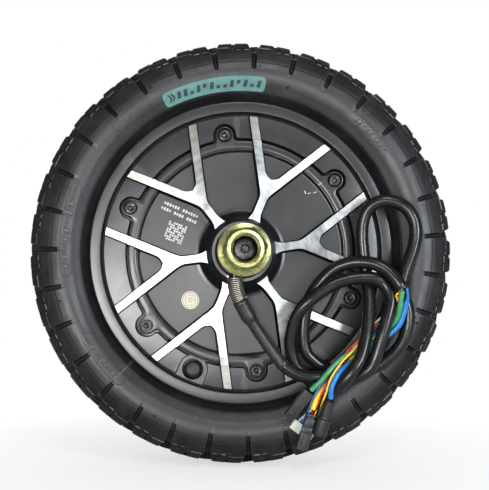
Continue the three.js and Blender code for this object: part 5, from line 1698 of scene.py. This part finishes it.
def sticker():
    part = Part("cover_round_sticker")
    lathe(part, [(0.02, 22.4), (5.35, 22.4), (5.4, 22.56), (5.3, 22.62), (0.02, 22.63)], 64,
          centre=STICKER)
    part.finish("wheel", "white", [LABEL], angle=50)
    part = Part("cover_sticker_print")
    for inner, outer in ((4.45, 4.75), (3.0, 3.25)):
        lathe(part, [(inner, 22.5), (outer, 22.5), (outer, 22.66), (inner, 22.66)], 64,
              centre=STICKER)
    for k, half in enumerate((1.5, 2.1, 1.2)):
        left, right = STICKER[0] - half, STICKER[0] + half
        low, high = -27.1 - k * 1.1, -26.75 - k * 1.1
        prism(part, [(left, low), (right, low), (right, high), (left, high)], 22.5, 22.67, 0.02)
    part.finish("wheel", "black_plastic", [GREY_INK], angle=50)


def print_chip(part, x, z, wide, tall, degrees):
    corners = [(-wide / 2, -tall / 2), (wide / 2, -tall / 2), (wide / 2, tall / 2),
               (-wide / 2, tall / 2)]
    prism(part, turned(corners, degrees) + [x, z], 22.4, 22.56, 0.02)


def cover_print():
    """A square block of dots, and two rows of dashes above it."""
    part = Part("cover_plain_print")
    pitch, dot, tilt = 1.45, 1.08, 20
    for i in range(8):
        for j in range(8):
            if (i + 2 * j) % 5 == 0:
                continue
            x, z = turned([(i - 3.5) * pitch, (j - 3.5) * pitch], tilt)
            print_chip(part, -39.0 + x, 12.4 + z, dot, dot, tilt)
    for start, end, count, gap in DASH_ROWS:
        for k in range(count):
            if k % gap == gap - 1:
                continue
            portion = (k + 0.5) / count
            print_chip(part, start[0] + (end[0] - start[0]) * portion,
                       start[1] + (end[1] - start[1]) * portion,
                       1.15, 1.75 if k % 3 else 1.2, 24)
    part.finish("wheel", "white", [WHITE_INK], angle=50)


def cover_scuffs():
    """Pale S-shaped scratches that taper to both ends."""
    part = Part("cover_scuffs")
    for start_x, start_z, end_x, end_z, wide, height in SCUFFS:
        start = np.array([start_x, start_z])
        span = np.array([end_x, end_z]) - start
        across = np.array([-span[1], span[0]]) / np.linalg.norm(span)
        upper, lower = [], []
        for k in range(9):
            portion = k / 8
            middle = start + span * portion + across * 0.35 * math.sin(TAU * portion)
            half = wide * (0.25 + 0.75 * math.sin(math.pi * portion))
            upper.append(middle + across * half)
            lower.append(middle - across * half)
        prism(part, upper + lower[::-1], height, height + 0.2, 0.02)
    part.finish("wheel", "white", [WHITE_INK], angle=50)


# -------------------------------------------------------------------- bearings
BEARING_HEIGHT = 19.0
BALL_CIRCLE = 14.25
BALL_RADIUS = 3.30
GROOVE_RADIUS = 3.5
BALLS = 8
GROOVE_ARC = [(GROOVE_RADIUS * math.cos(angle), GROOVE_RADIUS * math.sin(angle))
              for angle in np.linspace(0.905, -0.905, 15)]
OUTER_RING = (
    [(19.6, 13.4), (19.6, 24.6), (19.2, 25.0), (16.7, 25.0), (16.45, 24.7), (16.45, 23.9),
     (16.9, 23.5), (16.45, 23.1)]
    + [(BALL_CIRCLE + out, BEARING_HEIGHT + up) for out, up in GROOVE_ARC]
    + [(16.45, 14.9), (16.9, 14.5), (16.45, 14.1), (16.45, 13.3), (16.7, 13.0), (19.2, 13.0)])
INNER_RING = (
    [(8.6, 13.3), (8.6, 24.7), (8.9, 25.0), (11.8, 25.0), (12.1, 24.7), (12.1, 23.2)]
    + [(BALL_CIRCLE - out, BEARING_HEIGHT + up) for out, up in GROOVE_ARC]
    + [(12.1, 14.8), (12.1, 13.3), (11.8, 13.0), (8.9, 13.0)])
# Sections as (radius, height from the middle of the bearing).
BALL_SECTION = [(max(0.01, BALL_RADIUS * math.sin(angle)), BALL_RADIUS * math.cos(angle))
                for angle in np.linspace(0, math.pi, 17)]
RIVET_SECTION = [(0.01, -1.5), (0.55, -1.45), (0.75, -1.1), (0.75, 1.1), (0.55, 1.45),
                 (0.01, 1.5)]
RIBBON_SECTION = [
    (13.35, -0.8), (13.55, -1.0), (15.0, -1.0), (15.15, -0.8), (15.15, -0.1), (14.95, 0),
    (15.15, 0.1), (15.15, 0.8), (15.0, 1.0), (13.55, 1.0), (13.35, 0.8), (13.35, 0.1),
    (13.55, 0), (13.35, -0.1)]


def bearings():
    for side, sign in SIDES:
        for ring, section, body in (("outer", OUTER_RING, "wheel"),
                                    ("inner", INNER_RING, "axle")):
            part = Part(f"{side}_bearing_{ring}_ring")
            lathe(part, on_side(section, sign), 96)
            part.finish(body, "bright_steel", [STEEL], [f"{side}_bearing_{ring}_race"],
                        angle=28)
        # Balls in a ribbon cage, with a rivet between each pair.
        balls, rivets, ribbon = (
            on_side([(radius, BEARING_HEIGHT + up) for radius, up in section], sign)
            for section in (BALL_SECTION, RIVET_SECTION, RIBBON_SECTION))
        part = Part(f"{side}_ball_set")
        for k in range(BALLS):
            lathe(part, balls, 28, centre=polar(360 / BALLS * k, BALL_CIRCLE), mat=0)
            lathe(part, rivets, 14, centre=polar(360 / BALLS * (k + 0.5), BALL_CIRCLE), mat=1)
        lathe(part, ribbon, 96, mat=1)
        part.finish(f"{side}_cage", "cage", [STEEL, CAGE], [f"{side}_ball_cage"], angle=40)


# ---------------------------------------- finishes of the CAD pieces that stay
KEPT_NODES = {
    "flux_ring": CASTING, "magnet_ring": MAGNET, "stator_carrier": CASTING,
    "stator_core": LAMINATE, "stator_winding": COPPER, "hall_sensor_board": BOARD,
    "front_spacer": STEEL, "rear_spacer": STEEL,
}


def kept_finishes():
    for name, material in KEPT_NODES.items():
        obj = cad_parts[name]
        for slot in obj.material_slots:
            slot.material = material
        if not obj.material_slots:
            obj.data.materials.append(material)


# -------------------------------------------------------- floor, light, camera
def paper_material():
    """White paper that fades, for the camera only, into an evenly lit sweep."""
    shader = Shader("paper_floor")
    shader.set("Base Color", shader.ramp(shader.noise(scale=3.0, roughness=0.5),
                                         (0.3, grey(0.90)), (0.7, grey(0.93))))
    shader.set("Roughness", 0.9)
    grain = shader.noise(scale=900, detail=3, roughness=0.6)
    shader.set("Normal", shader.bump(grain, strength=0.05, distance=0.0002))
    axes = shader.axes()
    away = shader.distance(axes[0], axes[1])
    fade = shader.remap(away, source=(0.0, 0.24), to=(0.60, 1))
    glow = shader.node("ShaderNodeEmission")
    glow.inputs[0].default_value = (1, 1, 1, 1)
    glow.inputs[1].default_value = 1.0
    rays = shader.node("ShaderNodeLightPath")
    both = shader.node("ShaderNodeMixShader")
    shader.feed(both.inputs[0], shader.times(fade, rays.outputs["Is Camera Ray"]))
    shader.feed(both.inputs[1], shader.bsdf.outputs[0])
    shader.feed(both.inputs[2], glow.outputs[0])
    shader.feed(shader.output.inputs[0], both.outputs[0])
    return shader.material


def paper_floor():
    half = 3
    height = CAD_BOUNDS[0][2] - 0.0006
    mesh = bpy.data.meshes.new("paper_floor")
    mesh.from_pydata([(-half, -half, height), (half, -half, height), (half, half, height),
                      (-half, half, height)], [], [(0, 1, 2, 3)])
    mesh.materials.append(paper_material())
    add_object("paper_floor", mesh)


def studio_world():
    """Pure white to the camera, a faint cool fill to everything else."""
    world = bpy.data.worlds.new("studio")
    bpy.context.scene.world = world
    world.use_nodes = True
    nodes, links = world.node_tree.nodes, world.node_tree.links
    nodes.clear()
    output = nodes.new("ShaderNodeOutputWorld")
    mix = nodes.new("ShaderNodeMixShader")
    rays = nodes.new("ShaderNodeLightPath")
    links.new(rays.outputs["Is Camera Ray"], mix.inputs[0])
    for i, colour, strength in ((1, (0.93, 0.96, 1.0, 1), 0.20), (2, (1, 1, 1, 1), 1.0)):
        background = nodes.new("ShaderNodeBackground")
        background.inputs[0].default_value = colour
        background.inputs[1].default_value = strength
        links.new(background.outputs[0], mix.inputs[i])
    links.new(mix.outputs[0], output.inputs[0])


def area_light(name, location, size, power, colour=(1, 1, 1)):
    """Rectangular light aimed at the wheel's centre."""
    light = bpy.data.lights.new(name, "AREA")
    light.shape = "RECTANGLE"
    light.size, light.size_y = size
    light.energy = power
    light.color = colour
    obj = add_object(name, light)
    obj.location = location
    aim = Vector((0, 0, 0)) - Vector(location)
    obj.rotation_euler = aim.to_track_quat("-Z", "Y").to_euler()


def lights():
    area_light("key_low_left", location=(-0.24, -1.0, -0.20), size=(0.42, 0.42), power=25)
    area_light("left", location=(-0.85, -1.0, 0.0), size=(0.25, 0.35), power=1.5)
    area_light("top", location=(0.10, -0.95, 0.80), size=(0.30, 0.30), power=5)
    area_light("right", location=(0.66, -1.0, 0.12), size=(0.20, 0.35), power=11,
               colour=(0.90, 0.95, 1.0))
    area_light("back", location=(0.2, 1.2, 0.7), size=(1.4, 1.2), power=6)


def camera():
    """Level view along +Y, shifted to frame the wheel."""
    data = bpy.data.cameras.new("camera")
    data.lens = 62.3
    data.sensor_width = 36.0
    data.sensor_fit = "AUTO"
    data.shift_x, data.shift_y = 0.11224490, 0.11163265
    data.clip_start = 0.01
    obj = add_object("camera", data)
    obj.location = (-0.0305, -0.531, -0.0279)
    obj.rotation_euler = (math.radians(90), 0, 0)
    bpy.context.scene.camera = obj
    bpy.context.scene.view_settings.view_transform = "Standard"


BUILD_ORDER = (
    tyre_body, tyre_marks, ledge_highlights, vent_nubs, vent_hairs, colour_band, band_bars,
    rim, rim_arm_ends, front_cover, cover_ring, seals, screws, rear_cover, rear_ribs,
    nuts, axle, cable_jacket, guard_spring, cable_sleeve, wires,
    yellow_plug, blue_plug, green_plug, signal_plug, valve,
    sticker, cover_print, cover_scuffs, bearings, kept_finishes,
    paper_floor, studio_world, lights, camera)
for build in BUILD_ORDER:
    build()
